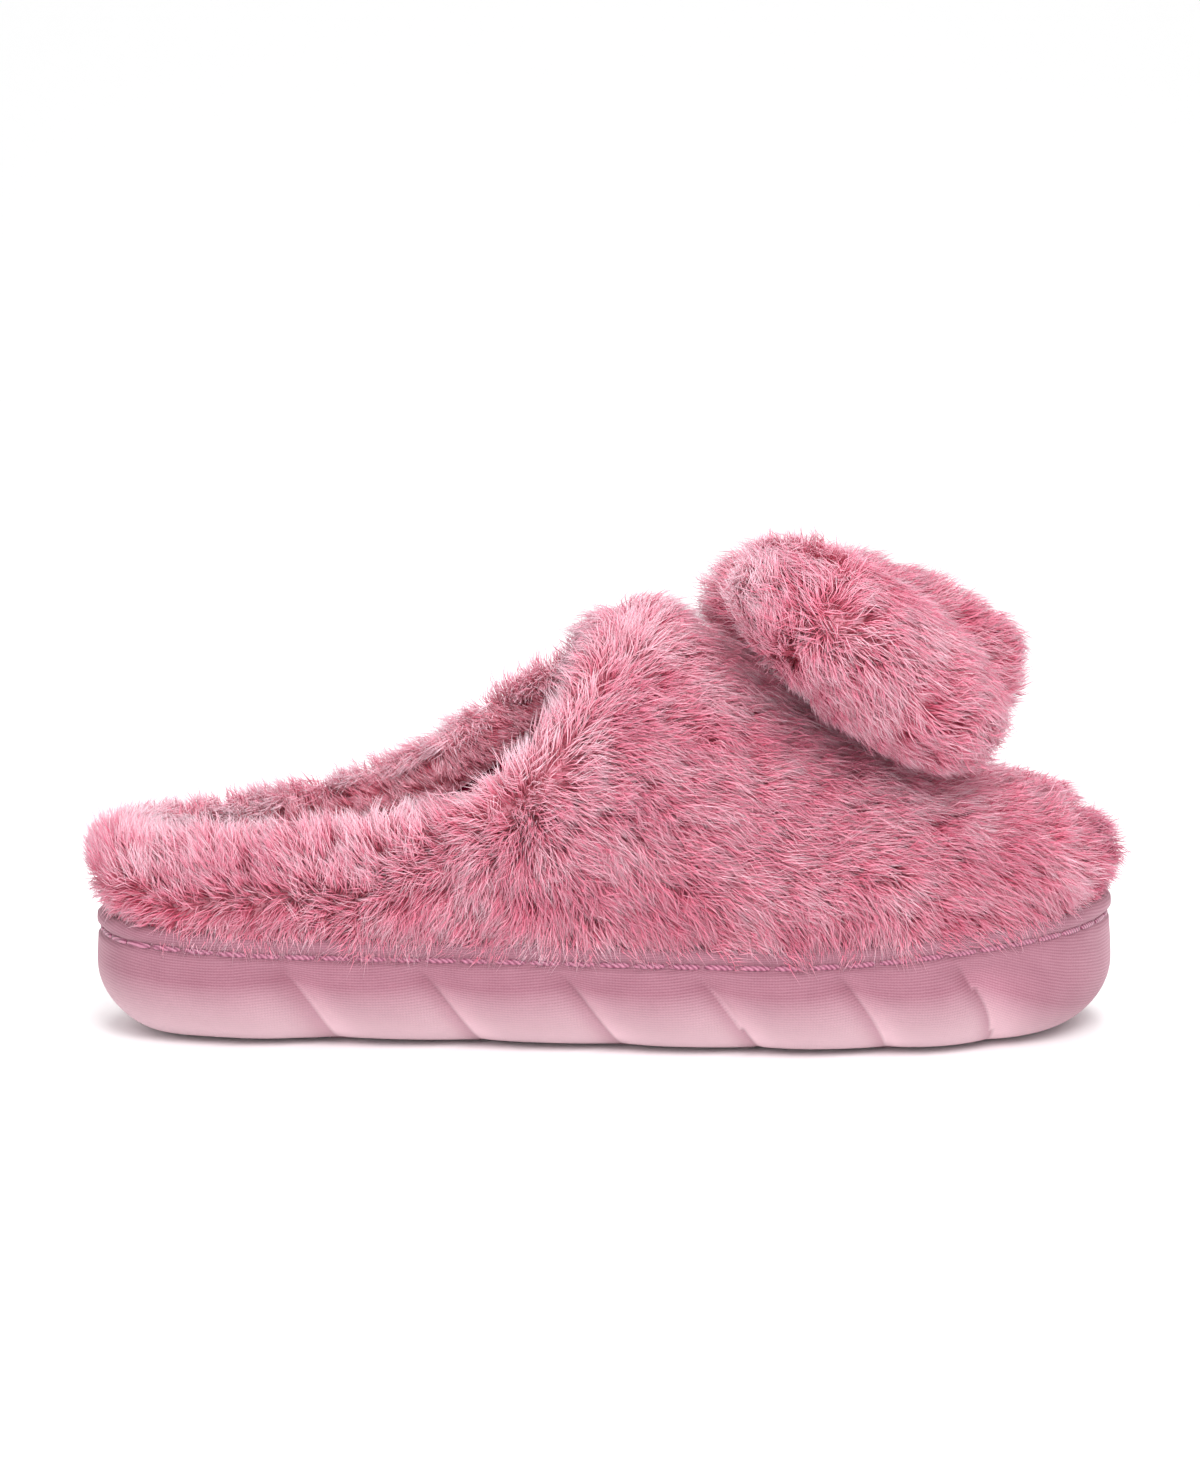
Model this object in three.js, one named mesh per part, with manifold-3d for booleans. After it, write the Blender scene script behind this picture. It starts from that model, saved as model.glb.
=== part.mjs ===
// A fluffy slip-on house slipper for the right foot, about EU size 39.
// A foam cupsole wears a knitted cover with slanting flutes and a stitched lip. The plush upper, its
// foam and its lining drop inside the cup to an insole board, under a padded footbed. Behind, the upper
// is a low open collar. A stuffed plush bow with a knot is tacked to the top of the vamp.
// Millimetres. +X is towards the toe, +Y towards the inner side of the foot, +Z up.
// The origin is on the ground, at the middle of the object's box.
import * as THREE from "three";
import { mergeVertices } from "three/addons/utils/BufferGeometryUtils.js";
import Module from "manifold-3d";

const wasm = await Module();
wasm.setup();

// ---- Driving dimensions -------------------------------------------------------------------------

const GAP = 0.3; // between pieces that touch
const LAYER_GAP = 0.6; // between the upper's soft layers

// Sole, in plan
const SOLE_LENGTH = 265;
const BALL_WIDTH = 99;
const WAIST_WIDTH = 78;
const HEEL_WIDTH = 74;

// Sole, upright
const RIM_HEIGHT = 29.5; // top of the cup's lip at the waist
const HEEL_RISE = 2; // how much higher the lip is at the heel
const TOE_RISE = 5.5; // and at the toe
const SOLE_ROUND_WIDTH = 16; // the rounded bottom edge, measured inwards
const SOLE_ROUND_HEIGHT = 18; // and upwards
const SOLE_CLEARANCE = 0.8; // the foam's lowest point above the ground
const WRAP_THICKNESS = 1.6;
const CUP_WALL = 4;
const CUP_FLOOR = 16;

// Flutes on both sides of the sole
const FLUTE_COUNT = 6;
const FLUTE_PITCH = 34.5;
const FLUTE_START = 44; // from the heel to the first groove, at the lip
const FLUTE_SLANT = 0.72; // how far a groove runs forward for each millimetre down
const FLUTE_DEPTH = 2.2;

// Stitch channel round the lip
const STITCH_DROP = 5; // below the lip's top
const STITCH_CHANNEL = 1.8; // its height
const STITCH_DEPTH = 0.9;
const THREAD_WIDTH = 1.2;
const THREAD_THICKNESS = 0.6;

// Outsole
const OUTSOLE_THICKNESS = 3;
const OUTSOLE_INSET = 20;
const TREAD_PITCH = 14;
const TREAD_GROOVE = 3;
const TREAD_DEPTH = 1.2;

// Insole
const BOARD_THICKNESS = 2;
const FOOTBED_COVER = 2.3;
const STROBEL_THREAD = 1;

// Upper, from the outside in
const OVERHANG = 2.5; // the plush past the sole's edge
const PLUSH = 8.5;
const UPPER_FOAM = 3;
const LINING = 4;
const BACKING = 1.2; // the plush's and the lining's cloth inside the cup
const FLANGE = 1.5; // the plush turned in over the lip
const TOP_ROLL = 6; // plush rolled over the collar's and the mouth's edge
const INSTEP_HEIGHT = 111;
const TOE_HEIGHT = 62;
const COLLAR_HEIGHT = 56;
const MOUTH = 0.475; // the vamp's top edge, as a share of the sole's length
const TOE_ROUNDING = 27;
const HEEL_ROUNDING = 28;
const ARCH_POWER = 2.2; // 2 is an ellipse, more is squarer
const SEAM_TOP = 0.42; // the side seam crosses the topline here, as a share of the sole's length
const SEAM_LEAN = 0.42; // how far the seam runs forward for each millimetre down

// Bow
const BOW_PLACE = 0.72; // its knot, as a share of the sole's length
const BOW_SLOPE = 33; // degrees, toe side down
const BOW_ROLL = 10; // degrees, outer side up
const BOW_HALF_SPAN = 58; // across the foot
const LOOP_HALF_WIDTH = 45; // along the foot
const LOOP_HALF_THICKNESS = 17;
const WAIST_HALF_WIDTH = 15;
const WAIST_HALF_THICKNESS = 9;
const BOW_PLUSH = 6;
const KNOT_BAND = 5;
const KNOT_HALF_LENGTH = 11;
const FELT_RADIUS = 10;
const FELT_THICKNESS = 2;
const TACK_RADIUS = 1;
const TACK_BITE = 3; // how far the tack reaches into the knot and into the vamp's plush

// Mesh fineness
const PERIMETER_STEPS = Math.round(SOLE_LENGTH / 3);
const DOME_STEPS = Math.round(SOLE_LENGTH / 13);
const ARCH_STEPS = 12;
const END_SHARES = [0, 0.3, 0.56, 0.77, 0.91, 0.98];
const MESH_TOLERANCE = 0.05; // finer detail than this is merged away

// Depths from the sole's edge
const CUP_INSIDE = WRAP_THICKNESS + GAP + CUP_WALL;
const PLUSH_MARGIN = CUP_INSIDE + GAP;
const PLUSH_INSIDE = PLUSH - OVERHANG;
const FOAM_OUTSIDE = PLUSH_INSIDE + LAYER_GAP;
const FOAM_INSIDE = FOAM_OUTSIDE + UPPER_FOAM;
const LINING_OUTSIDE = FOAM_INSIDE + LAYER_GAP;
const LINING_INSIDE = LINING_OUTSIDE + LINING;
const FOAM_MARGIN = Math.max(PLUSH_MARGIN + BACKING + GAP, FOAM_OUTSIDE);
const STROBEL_OUTSIDE = LINING_OUTSIDE + BACKING + GAP;
const FOOTBED_OUTSIDE = STROBEL_OUTSIDE + STROBEL_THREAD + GAP;

// Heights of the insole's layers
const BOARD_BOTTOM = CUP_FLOOR + GAP;
const BOARD_TOP = BOARD_BOTTOM + BOARD_THICKNESS;
const FOAM_BOTTOM = BOARD_TOP + GAP;
const COVER_BOTTOM = RIM_HEIGHT - GAP - FOOTBED_COVER; // the footbed fills the cup up to its lip

// ---- Solids -------------------------------------------------------------------------------------

// A manifold-3d solid from vertices and triangles, turned to face out.
function solidFrom(vertices, triangles) {
  const geometry = new THREE.BufferGeometry().setFromPoints(vertices);
  geometry.setIndex(triangles);
  return solidOf(geometry);
}

function solidOf(geometry) {
  const bare = new THREE.BufferGeometry().setAttribute("position", geometry.getAttribute("position"));
  if (geometry.index) bare.setIndex(geometry.index);
  const merged = mergeVertices(bare, 1e-4);
  const build = (triVerts) =>
    new wasm.Manifold(new wasm.Mesh({ numProp: 3, vertProperties: merged.attributes.position.array, triVerts }));
  const triVerts = new Uint32Array(merged.index.array);
  const made = build(triVerts);
  return made.volume() < 0 ? build(triVerts.reverse()) : made;
}

function geometryOf(solid) {
  const { numProp, numVert, vertProperties, triVerts } = solid.getMesh();
  const positions = new Float32Array(numVert * 3);
  for (let i = 0; i < numVert; i++) positions.set(vertProperties.subarray(i * numProp, i * numProp + 3), i * 3);
  const geometry = new THREE.BufferGeometry().setAttribute("position", new THREE.BufferAttribute(positions, 3));
  geometry.setIndex(new THREE.BufferAttribute(triVerts, 1));
  const flat = geometry.toNonIndexed();
  flat.computeVertexNormals();
  return flat;
}

// Joins rings of equally many points, side by side. The first and last rings are closed by a fan round
// their middle, or joined to each other when looped. Each four-sided face is split from its lower ring
// forwards, so that surfaces a small distance apart are split alike and never cross.
function joinRings(rings, looped = false) {
  const count = rings[0].length;
  const vertices = rings.flat();
  const triangles = [];
  const last = looped ? rings.length : rings.length - 1;
  for (let r = 0; r < last; r++) {
    const low = r * count;
    const high = ((r + 1) % rings.length) * count;
    const rising = rings[r][0].z <= vertices[high].z;
    for (let i = 0; i < count; i++) {
      const next = (i + 1) % count;
      if (rising) triangles.push(low + i, low + next, high + next, low + i, high + next, high + i);
      else triangles.push(low + i, low + next, high + i, low + next, high + next, high + i);
    }
  }
  if (!looped) {
    const fan = (ring, start, forwards) => {
      const middle = vertices.length;
      const centre = ring.reduce((sum, p) => sum.add(p), new THREE.Vector3()).divideScalar(count);
      vertices.push(centre);
      for (let i = 0; i < count; i++) {
        const next = (i + 1) % count;
        triangles.push(...(forwards ? [start + i, start + next, middle] : [start + next, start + i, middle]));
      }
    };
    fan(rings[0], 0, false);
    fan(rings[rings.length - 1], (rings.length - 1) * count, true);
  }
  return solidFrom(vertices, triangles);
}

// A prism across the foot, from a side view of [x, z] points.
function prism(points, width = 4 * BALL_WIDTH) {
  const shape = new THREE.Shape(points.map(([x, z]) => new THREE.Vector2(x, z)));
  const geometry = new THREE.ExtrudeGeometry(shape, { depth: width, bevelEnabled: false });
  geometry.rotateX(Math.PI / 2);
  geometry.translate(0, width / 2, 0);
  return solidOf(geometry);
}

function cylinder(radius, bottom, top) {
  const geometry = new THREE.CylinderGeometry(radius, radius, top - bottom, 24);
  geometry.rotateX(Math.PI / 2);
  geometry.translate(0, 0, (top + bottom) / 2);
  return solidOf(geometry);
}

// ---- Curves -------------------------------------------------------------------------------------

const clamp = THREE.MathUtils.clamp;
const smoothstep = THREE.MathUtils.smoothstep;

// From 1 where t is 0 down to 0 where t is 1, ending upright as a rounded end does.
const rounded = (t, power = 2.5) => (1 - clamp(t, 0, 1) ** power) ** (1 / power);

// A height for each x, on a smooth curve through [x, height] points.
function curveThrough(points) {
  const curve = new THREE.SplineCurve(points.map(([x, z]) => new THREE.Vector2(x, z)));
  const samples = curve.getPoints(points.length * 12);
  return (x) => {
    const after = samples.findIndex((p) => p.x >= x);
    if (after <= 0) return (after < 0 ? samples[samples.length - 1] : samples[0]).y;
    const [a, b] = [samples[after - 1], samples[after]];
    return a.y + ((b.y - a.y) * (x - a.x)) / (b.x - a.x);
  };
}

// The sole's edge seen from above: shares of the length and of the width there, from the heel along
// the outer side to the toe, and back along the inner side.
const OUTLINE = [
  [0, 0, HEEL_WIDTH],
  [0.035, -0.34, HEEL_WIDTH],
  [0.13, -0.49, HEEL_WIDTH],
  [0.27, -0.51, HEEL_WIDTH],
  [0.41, -0.53, WAIST_WIDTH],
  [0.56, -0.475, BALL_WIDTH],
  [0.71, -0.505, BALL_WIDTH],
  [0.84, -0.46, BALL_WIDTH],
  [0.935, -0.325, BALL_WIDTH],
  [0.985, -0.135, BALL_WIDTH],
  [1, 0.06, BALL_WIDTH],
  [0.982, 0.245, BALL_WIDTH],
  [0.93, 0.385, BALL_WIDTH],
  [0.83, 0.475, BALL_WIDTH],
  [0.7, 0.495, BALL_WIDTH],
  [0.56, 0.43, BALL_WIDTH],
  [0.41, 0.47, WAIST_WIDTH],
  [0.27, 0.48, HEEL_WIDTH],
  [0.13, 0.47, HEEL_WIDTH],
  [0.035, 0.33, HEEL_WIDTH],
].map(([along, across, width]) => new THREE.Vector3(along * SOLE_LENGTH, across * width, 0));

const edgeCurve = new THREE.CatmullRomCurve3(OUTLINE, true, "centripetal");
const PERIMETER = Array.from({ length: PERIMETER_STEPS }, (_, i) => {
  const tangent = edgeCurve.getTangentAt(i / PERIMETER_STEPS);
  return { point: edgeCurve.getPointAt(i / PERIMETER_STEPS), outwards: new THREE.Vector3(tangent.y, -tangent.x, 0) };
});

// The ring at a depth inside the sole's edge. Depth and height are numbers or functions of x.
function edgeRing(depth, height) {
  return PERIMETER.map(({ point, outwards }) => {
    const z = typeof height === "function" ? height(point.x) : height;
    const d = typeof depth === "function" ? depth(point.x, z) : depth;
    return new THREE.Vector3(point.x - outwards.x * d, point.y - outwards.y * d, z);
  });
}

const rim = (x) =>
  RIM_HEIGHT +
  HEEL_RISE * (1 - smoothstep(x, 0, SOLE_LENGTH * 0.3)) +
  TOE_RISE * smoothstep(x, SOLE_LENGTH * 0.65, SOLE_LENGTH);
const upperBase = (x) => rim(x) + GAP;

// How deep the flutes cut at x and height z. They fade out below the stitch channel.
function fluteDepth(x, z) {
  const below = rim(x) - z;
  const phase = (x - FLUTE_START - FLUTE_SLANT * below) / FLUTE_PITCH;
  if (phase < -0.5 || phase > FLUTE_COUNT - 0.5) return 0;
  const fade = smoothstep(below, STITCH_DROP + STITCH_CHANNEL, STITCH_DROP + STITCH_CHANNEL + 5);
  return FLUTE_DEPTH * fade * (1 - Math.abs(Math.sin(Math.PI * phase)) ** 0.7);
}

// The sole's side: how far its surface lies inside the edge at height z.
function soleDepth(x, z) {
  const below = clamp((SOLE_ROUND_HEIGHT - z) / (SOLE_ROUND_HEIGHT - SOLE_CLEARANCE), 0, 1);
  return SOLE_ROUND_WIDTH * (1 - Math.sqrt(1 - below ** 2)) + fluteDepth(x, z);
}

// Rings up the sole's side, inset by a layer's depth. Each level is a height above the ground, or
// below the lip where it is negative.
function soleSide(inset, levels) {
  return levels.map((level) =>
    edgeRing(
      (x, z) => soleDepth(x, z) + inset,
      (x) => (level < 0 ? rim(x) + level : level),
    ),
  );
}

const CHANNEL_TOP = STITCH_DROP - STITCH_CHANNEL / 2;
const CHANNEL_BOTTOM = STITCH_DROP + STITCH_CHANNEL / 2;
const BELOW_CHANNEL = [SOLE_CLEARANCE, 1.6, 3.4, 6.5, 11, 16];
const SIDE_LEVELS = [...BELOW_CHANNEL, -CHANNEL_BOTTOM, -CHANNEL_TOP];

// ---- Sole ---------------------------------------------------------------------------------------

function soleWrap() {
  const channel = [
    ...soleSide(0, [...BELOW_CHANNEL, -CHANNEL_BOTTOM]),
    ...soleSide(STITCH_DEPTH, [-CHANNEL_BOTTOM, -CHANNEL_TOP]),
    ...soleSide(0, [-CHANNEL_TOP]),
  ];
  const inside = soleSide(WRAP_THICKNESS, SIDE_LEVELS).reverse();
  return joinRings([...channel, edgeRing(0, rim), edgeRing(WRAP_THICKNESS, rim), ...inside], true);
}

function midsoleFoam() {
  const inset = WRAP_THICKNESS + GAP;
  const pocket = OUTSOLE_INSET - GAP;
  const ceiling = OUTSOLE_THICKNESS + GAP;
  return joinRings([
    edgeRing(pocket, ceiling),
    edgeRing(pocket, SOLE_CLEARANCE),
    ...soleSide(inset, SIDE_LEVELS),
    edgeRing(inset, rim),
    edgeRing(CUP_INSIDE, rim),
    edgeRing(CUP_INSIDE, CUP_FLOOR),
  ]);
}

function lipStitching() {
  const middle = (x) => rim(x) - STITCH_DROP;
  const low = (x) => middle(x) - THREAD_WIDTH / 2;
  const high = (x) => middle(x) + THREAD_WIDTH / 2;
  const inside = STITCH_DEPTH - GAP;
  const outside = inside - THREAD_THICKNESS;
  return joinRings(
    [edgeRing(outside, low), edgeRing(outside, high), edgeRing(inside, high), edgeRing(inside, low)],
    true,
  );
}

function outsoleTread() {
  const plate = joinRings([edgeRing(OUTSOLE_INSET, 0), edgeRing(OUTSOLE_INSET, OUTSOLE_THICKNESS)]);
  const grooves = Math.floor((SOLE_LENGTH - 2 * OUTSOLE_INSET) / TREAD_PITCH);
  let tread = plate;
  for (let i = 0; i < grooves; i++) {
    const x = OUTSOLE_INSET + (i + 0.75) * TREAD_PITCH;
    const groove = [
      [x, -TREAD_DEPTH],
      [x + TREAD_GROOVE, -TREAD_DEPTH],
      [x + TREAD_GROOVE, TREAD_DEPTH],
      [x, TREAD_DEPTH],
    ];
    tread = tread.subtract(prism(groove));
  }
  return tread;
}

const layer = (depth, bottom, top) => joinRings([edgeRing(depth, bottom), edgeRing(depth, top)]);
const insoleBoard = () => layer(PLUSH_MARGIN, BOARD_BOTTOM, BOARD_TOP);
const footbedFoam = () => layer(FOOTBED_OUTSIDE, FOAM_BOTTOM, COVER_BOTTOM - GAP);
const footbedCover = () => layer(FOOTBED_OUTSIDE, COVER_BOTTOM, COVER_BOTTOM + FOOTBED_COVER);

// An upright band round the sole, between two depths and two heights.
function band(outside, inside, bottom, top) {
  return joinRings(
    [edgeRing(outside, bottom), edgeRing(outside, top), edgeRing(inside, top), edgeRing(inside, bottom)],
    true,
  );
}

const strobelThread = () =>
  band(STROBEL_OUTSIDE, STROBEL_OUTSIDE + STROBEL_THREAD, FOAM_BOTTOM, FOAM_BOTTOM + STROBEL_THREAD);

// ---- Upper --------------------------------------------------------------------------------------

// The plush's height along the middle of the foot, before the ends are rounded.
const crown = curveThrough(
  [
    [-0.1, 1],
    [0.3, 1],
    [0.52, 1],
    [0.57, 0.99],
    [0.6, 0.93],
    [0.64, 0.75],
    [0.69, 0.53],
    [0.75, 0.33],
    [0.83, 0.15],
    [0.89, 0.09],
    [0.94, 0.04],
    [1.1, -0.03],
  ].map(([along, share]) => [along * SOLE_LENGTH, TOE_HEIGHT + share * (INSTEP_HEIGHT - TOE_HEIGHT)]),
);

// A closed dome over the whole foot, its surface this depth inside the plush's outer surface. It stands
// on the lip, or has a skirt below it by drop, so that it can cut right through another dome.
function dome(depth, drop = 0) {
  const plan = edgeRing(depth - OVERHANG, 0);
  const back = Math.min(...plan.map((p) => p.x));
  const front = Math.max(...plan.map((p) => p.x));
  const crossing = (x) => {
    const found = plan.flatMap((p, i) => {
      const q = plan[(i + 1) % plan.length];
      if ((p.x - x) * (q.x - x) > 0 || p.x === q.x) return [];
      return [p.y + ((q.y - p.y) * (x - p.x)) / (q.x - p.x)];
    });
    return [Math.min(...found), Math.max(...found)];
  };
  const toeStart = front + depth - TOE_ROUNDING;
  const heelStart = back - depth + HEEL_ROUNDING;
  const section = ([x, roundness]) => {
    const [low, high] = crossing(x);
    const [middle, half] = [(low + high) / 2, (high - low) / 2];
    const base = upperBase(x);
    const height = (crown(x) - depth - base) * roundness;
    const arch = Array.from({ length: ARCH_STEPS + 1 }, (_, i) => {
      const angle = (Math.PI * i) / ARCH_STEPS;
      const across = Math.sign(Math.cos(angle)) * Math.abs(Math.cos(angle)) ** (2 / ARCH_POWER);
      const up = Math.abs(Math.sin(angle)) ** (2 / ARCH_POWER);
      return new THREE.Vector3(x, middle + half * across, base + height * up);
    });
    if (!drop) return arch;
    return [...arch, new THREE.Vector3(x, low, base - drop), new THREE.Vector3(x, high, base - drop)];
  };
  const heelEnd = END_SHARES.map((share) => [heelStart - (HEEL_ROUNDING - depth) * share, rounded(share)]);
  const toeEnd = END_SHARES.map((share) => [toeStart + (TOE_ROUNDING - depth) * share, rounded(share)]);
  const between = Array.from({ length: DOME_STEPS - 1 }, (_, i) => [
    heelStart + ((toeStart - heelStart) * (i + 1)) / DOME_STEPS,
    1,
  ]);
  return joinRings([...heelEnd.reverse(), ...between, ...toeEnd].map(section));
}

// The topline seen from the side: low round the heel, sweeping up to the vamp's top edge.
const TOPLINE = [
  [-0.12, 0],
  [0.04, 0],
  [0.17, 0.04],
  [0.28, 0.14],
  [0.36, 0.26],
  [0.42, 0.43],
  [0.455, 0.65],
  [MOUTH, 0.9],
  [MOUTH + 0.03, 1.15],
].map(([along, share]) => new THREE.Vector2(along * SOLE_LENGTH, COLLAR_HEIGHT + share * (INSTEP_HEIGHT - COLLAR_HEIGHT)));

// All that lies below and in front of the topline, moved in by a depth.
function belowTopline(depth) {
  const curve = new THREE.SplineCurve(TOPLINE);
  const steps = 3 * TOPLINE.length;
  const line = Array.from({ length: steps + 1 }, (_, i) => {
    const tangent = curve.getTangent(i / steps);
    const point = curve.getPoint(i / steps);
    return [point.x + tangent.y * depth, point.y - tangent.x * depth];
  });
  const [far, high] = [2 * SOLE_LENGTH, 2 * INSTEP_HEIGHT];
  return prism([...line, [line[steps][0], high], [far, high], [far, -high], [line[0][0], -high]]);
}

// The three layers of the whole upper, before the side seams part the vamp from the collar. Each layer
// gives way to the one outside it.
function upperLayers() {
  const hollow = dome(OVERHANG + LINING_INSIDE, 2);
  const rolled = belowTopline(TOP_ROLL);
  const tucked = belowTopline(TOP_ROLL + GAP);
  const flangeTop = (x) => upperBase(x) + FLANGE;
  const foamBase = (x) => flangeTop(x) + GAP;

  const plushSheet = dome(0).intersect(belowTopline(0)).subtract(dome(PLUSH, 2).intersect(rolled)).subtract(hollow);
  const plush = plushSheet
    .add(band(0, PLUSH_MARGIN + BACKING, upperBase, flangeTop))
    .add(band(PLUSH_MARGIN, PLUSH_MARGIN + BACKING, FOAM_BOTTOM, flangeTop));

  const foamSheet = dome(PLUSH + LAYER_GAP)
    .intersect(tucked)
    .subtract(dome(OVERHANG + FOAM_INSIDE, 2))
    .subtract(band(-OVERHANG, FOAM_MARGIN, 0, foamBase));
  const foam = foamSheet.add(band(FOAM_MARGIN, FOAM_INSIDE, FOAM_BOTTOM, (x) => foamBase(x) + 1));

  const liningSheet = dome(OVERHANG + LINING_OUTSIDE).intersect(tucked).subtract(hollow);
  const lining = liningSheet.add(
    band(LINING_OUTSIDE, LINING_OUTSIDE + BACKING, FOAM_BOTTOM, (x) => upperBase(x) + 1),
  );
  return { plush, foam: foam.subtract(plush), lining: lining.subtract(foam) };
}

// The part of a layer in front of the side seam, or behind it.
function seamed(solid, side) {
  const normal = new THREE.Vector2(1, SEAM_LEAN).normalize();
  const offset = normal.dot(new THREE.Vector2(SEAM_TOP * SOLE_LENGTH, COLLAR_HEIGHT + 24));
  return solid.trimByPlane([side * normal.x, 0, side * normal.y], side * offset + GAP / 2);
}

const FRONT = 1;
const BEHIND = -1;

// ---- Bow ----------------------------------------------------------------------------------------
// In its own frame: x along the foot, y across it, z out of the vamp, from the middle of the knot.

function bowBody(depth) {
  const end = BOW_HALF_SPAN - depth;
  const sections = Array.from({ length: 21 }, (_, i) => {
    const y = -end * Math.cos((Math.PI * (i + 1)) / 22);
    const spread = smoothstep(Math.abs(y), 0, BOW_HALF_SPAN * 0.6);
    const close = rounded(Math.abs(y) / end, 3.2);
    const wide = (WAIST_HALF_WIDTH + (LOOP_HALF_WIDTH - WAIST_HALF_WIDTH) * spread - depth) * close;
    const thick = (WAIST_HALF_THICKNESS + (LOOP_HALF_THICKNESS - WAIST_HALF_THICKNESS) * spread - depth) * close;
    return Array.from({ length: 20 }, (_, k) => {
      const angle = (Math.PI * k) / 10;
      return new THREE.Vector3(wide * Math.cos(angle), y, thick * Math.sin(angle));
    });
  });
  return joinRings(sections);
}

// A panel is half of the bow's skin, above or below its edge seam. The skin is open at the waist,
// where the knot draws it together round the filling.
function bowPanel(side) {
  const skin = bowBody(0).subtract(bowBody(BOW_PLUSH));
  return skin.trimByPlane([0, 0, side], GAP / 2);
}

const bowFilling = (side) => bowBody(BOW_PLUSH + GAP).trimByPlane([0, side, 0], GAP / 2);

// Rings along y for the knot: a short barrel round the bow's waist.
function bowKnot() {
  const barrel = Array.from({ length: 7 }, (_, i) => {
    const share = i / 3 - 1;
    const bulge = KNOT_BAND * (1 - 0.35 * share ** 2);
    const spread = smoothstep(Math.abs(share) * KNOT_HALF_LENGTH, 0, BOW_HALF_SPAN * 0.6);
    const wide = WAIST_HALF_WIDTH + (LOOP_HALF_WIDTH - WAIST_HALF_WIDTH) * spread + GAP + bulge;
    const thick = WAIST_HALF_THICKNESS + (LOOP_HALF_THICKNESS - WAIST_HALF_THICKNESS) * spread + GAP + bulge;
    return Array.from({ length: 20 }, (_, k) => {
      const angle = (Math.PI * k) / 10;
      return new THREE.Vector3(wide * Math.cos(angle), share * KNOT_HALF_LENGTH, thick * Math.sin(angle));
    });
  });
  return joinRings(barrel).subtract(bowBody(-GAP)).subtract(cylinder(TACK_RADIUS + GAP, -BOW_HALF_SPAN, 0));
}

const KNOT_BOTTOM = -(WAIST_HALF_THICKNESS + GAP + KNOT_BAND);
const FELT_TOP = KNOT_BOTTOM - GAP;
const FELT_BOTTOM = FELT_TOP - FELT_THICKNESS;

const bowFelt = () =>
  cylinder(FELT_RADIUS, FELT_BOTTOM, FELT_TOP).subtract(cylinder(TACK_RADIUS + GAP, FELT_BOTTOM - 1, FELT_TOP + 1));
const bowTack = () => cylinder(TACK_RADIUS, FELT_BOTTOM - TACK_BITE, KNOT_BOTTOM + TACK_BITE);

// The bow's place on the slipper: its felt lies on the slope of the vamp's plush.
const bowX = BOW_PLACE * SOLE_LENGTH;
const slope = THREE.MathUtils.degToRad(BOW_SLOPE);
const roll = THREE.MathUtils.degToRad(-BOW_ROLL);
const bowPlace = new THREE.Matrix4()
  .makeTranslation(bowX, 0, crown(bowX))
  .multiply(new THREE.Matrix4().makeRotationY(slope))
  .multiply(new THREE.Matrix4().makeRotationX(roll))
  .multiply(new THREE.Matrix4().makeTranslation(0, 0, -FELT_BOTTOM));

// The hollow that the felt and the tack press into the vamp's plush.
function bowSeat() {
  const pocket = cylinder(FELT_RADIUS + GAP, FELT_BOTTOM - GAP, FELT_TOP + FELT_RADIUS);
  const hole = cylinder(TACK_RADIUS + GAP, FELT_BOTTOM - TACK_BITE - GAP, FELT_TOP);
  return solidOf(geometryOf(pocket.add(hole)).applyMatrix4(bowPlace));
}

// ---- Assembly -----------------------------------------------------------------------------------

const cloth = (color, roughness = 0.95) => new THREE.MeshStandardMaterial({ color, roughness, metalness: 0 });
const PLUSH_PINK = cloth(0xc87a92);
const LINING_ROSE = cloth(0xb04a68);
const KNIT_MAUVE = cloth(0xc794a4, 0.85);
const FOAM_WHITE = cloth(0xe8e2dc, 0.9);
const RUBBER_ROSE = cloth(0xb98796, 0.7);
const BOARD_GREY = cloth(0xb9b2aa, 0.9);
const THREAD_PINK = cloth(0xd59bb0, 0.6);

const slipper = new THREE.Group();

function place(name, solid, material, group) {
  const mesh = new THREE.Mesh(geometryOf(solid.asOriginal().simplify(MESH_TOLERANCE)), material);
  mesh.name = name;
  group.add(mesh);
}

const shoe = new THREE.Group();
place("outsole_tread", outsoleTread(), RUBBER_ROSE, shoe);
place("midsole_foam", midsoleFoam(), FOAM_WHITE, shoe);
place("sole_wrap", soleWrap(), KNIT_MAUVE, shoe);
place("lip_stitching", lipStitching(), THREAD_PINK, shoe);
place("insole_board", insoleBoard(), BOARD_GREY, shoe);
place("strobel_thread", strobelThread(), THREAD_PINK, shoe);
place("footbed_foam", footbedFoam(), FOAM_WHITE, shoe);
place("footbed_cover", footbedCover(), LINING_ROSE, shoe);

const { plush, foam, lining } = upperLayers();
place("vamp_plush", seamed(plush, FRONT).subtract(bowSeat()), PLUSH_PINK, shoe);
place("vamp_foam", seamed(foam, FRONT), FOAM_WHITE, shoe);
place("vamp_lining", seamed(lining, FRONT), LINING_ROSE, shoe);
place("collar_plush", seamed(plush, BEHIND), PLUSH_PINK, shoe);
place("collar_foam", seamed(foam, BEHIND), FOAM_WHITE, shoe);
place("collar_lining", seamed(lining, BEHIND), LINING_ROSE, shoe);

const bow = new THREE.Group();
place("bow_top_panel", bowPanel(1), PLUSH_PINK, bow);
place("bow_bottom_panel", bowPanel(-1), PLUSH_PINK, bow);
place("bow_filling_outer", bowFilling(-1), FOAM_WHITE, bow);
place("bow_filling_inner", bowFilling(1), FOAM_WHITE, bow);
place("bow_knot", bowKnot(), PLUSH_PINK, bow);
place("bow_felt", bowFelt(), BOARD_GREY, bow);
place("bow_tack", bowTack(), THREAD_PINK, bow);
bow.applyMatrix4(bowPlace);
shoe.add(bow);

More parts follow.
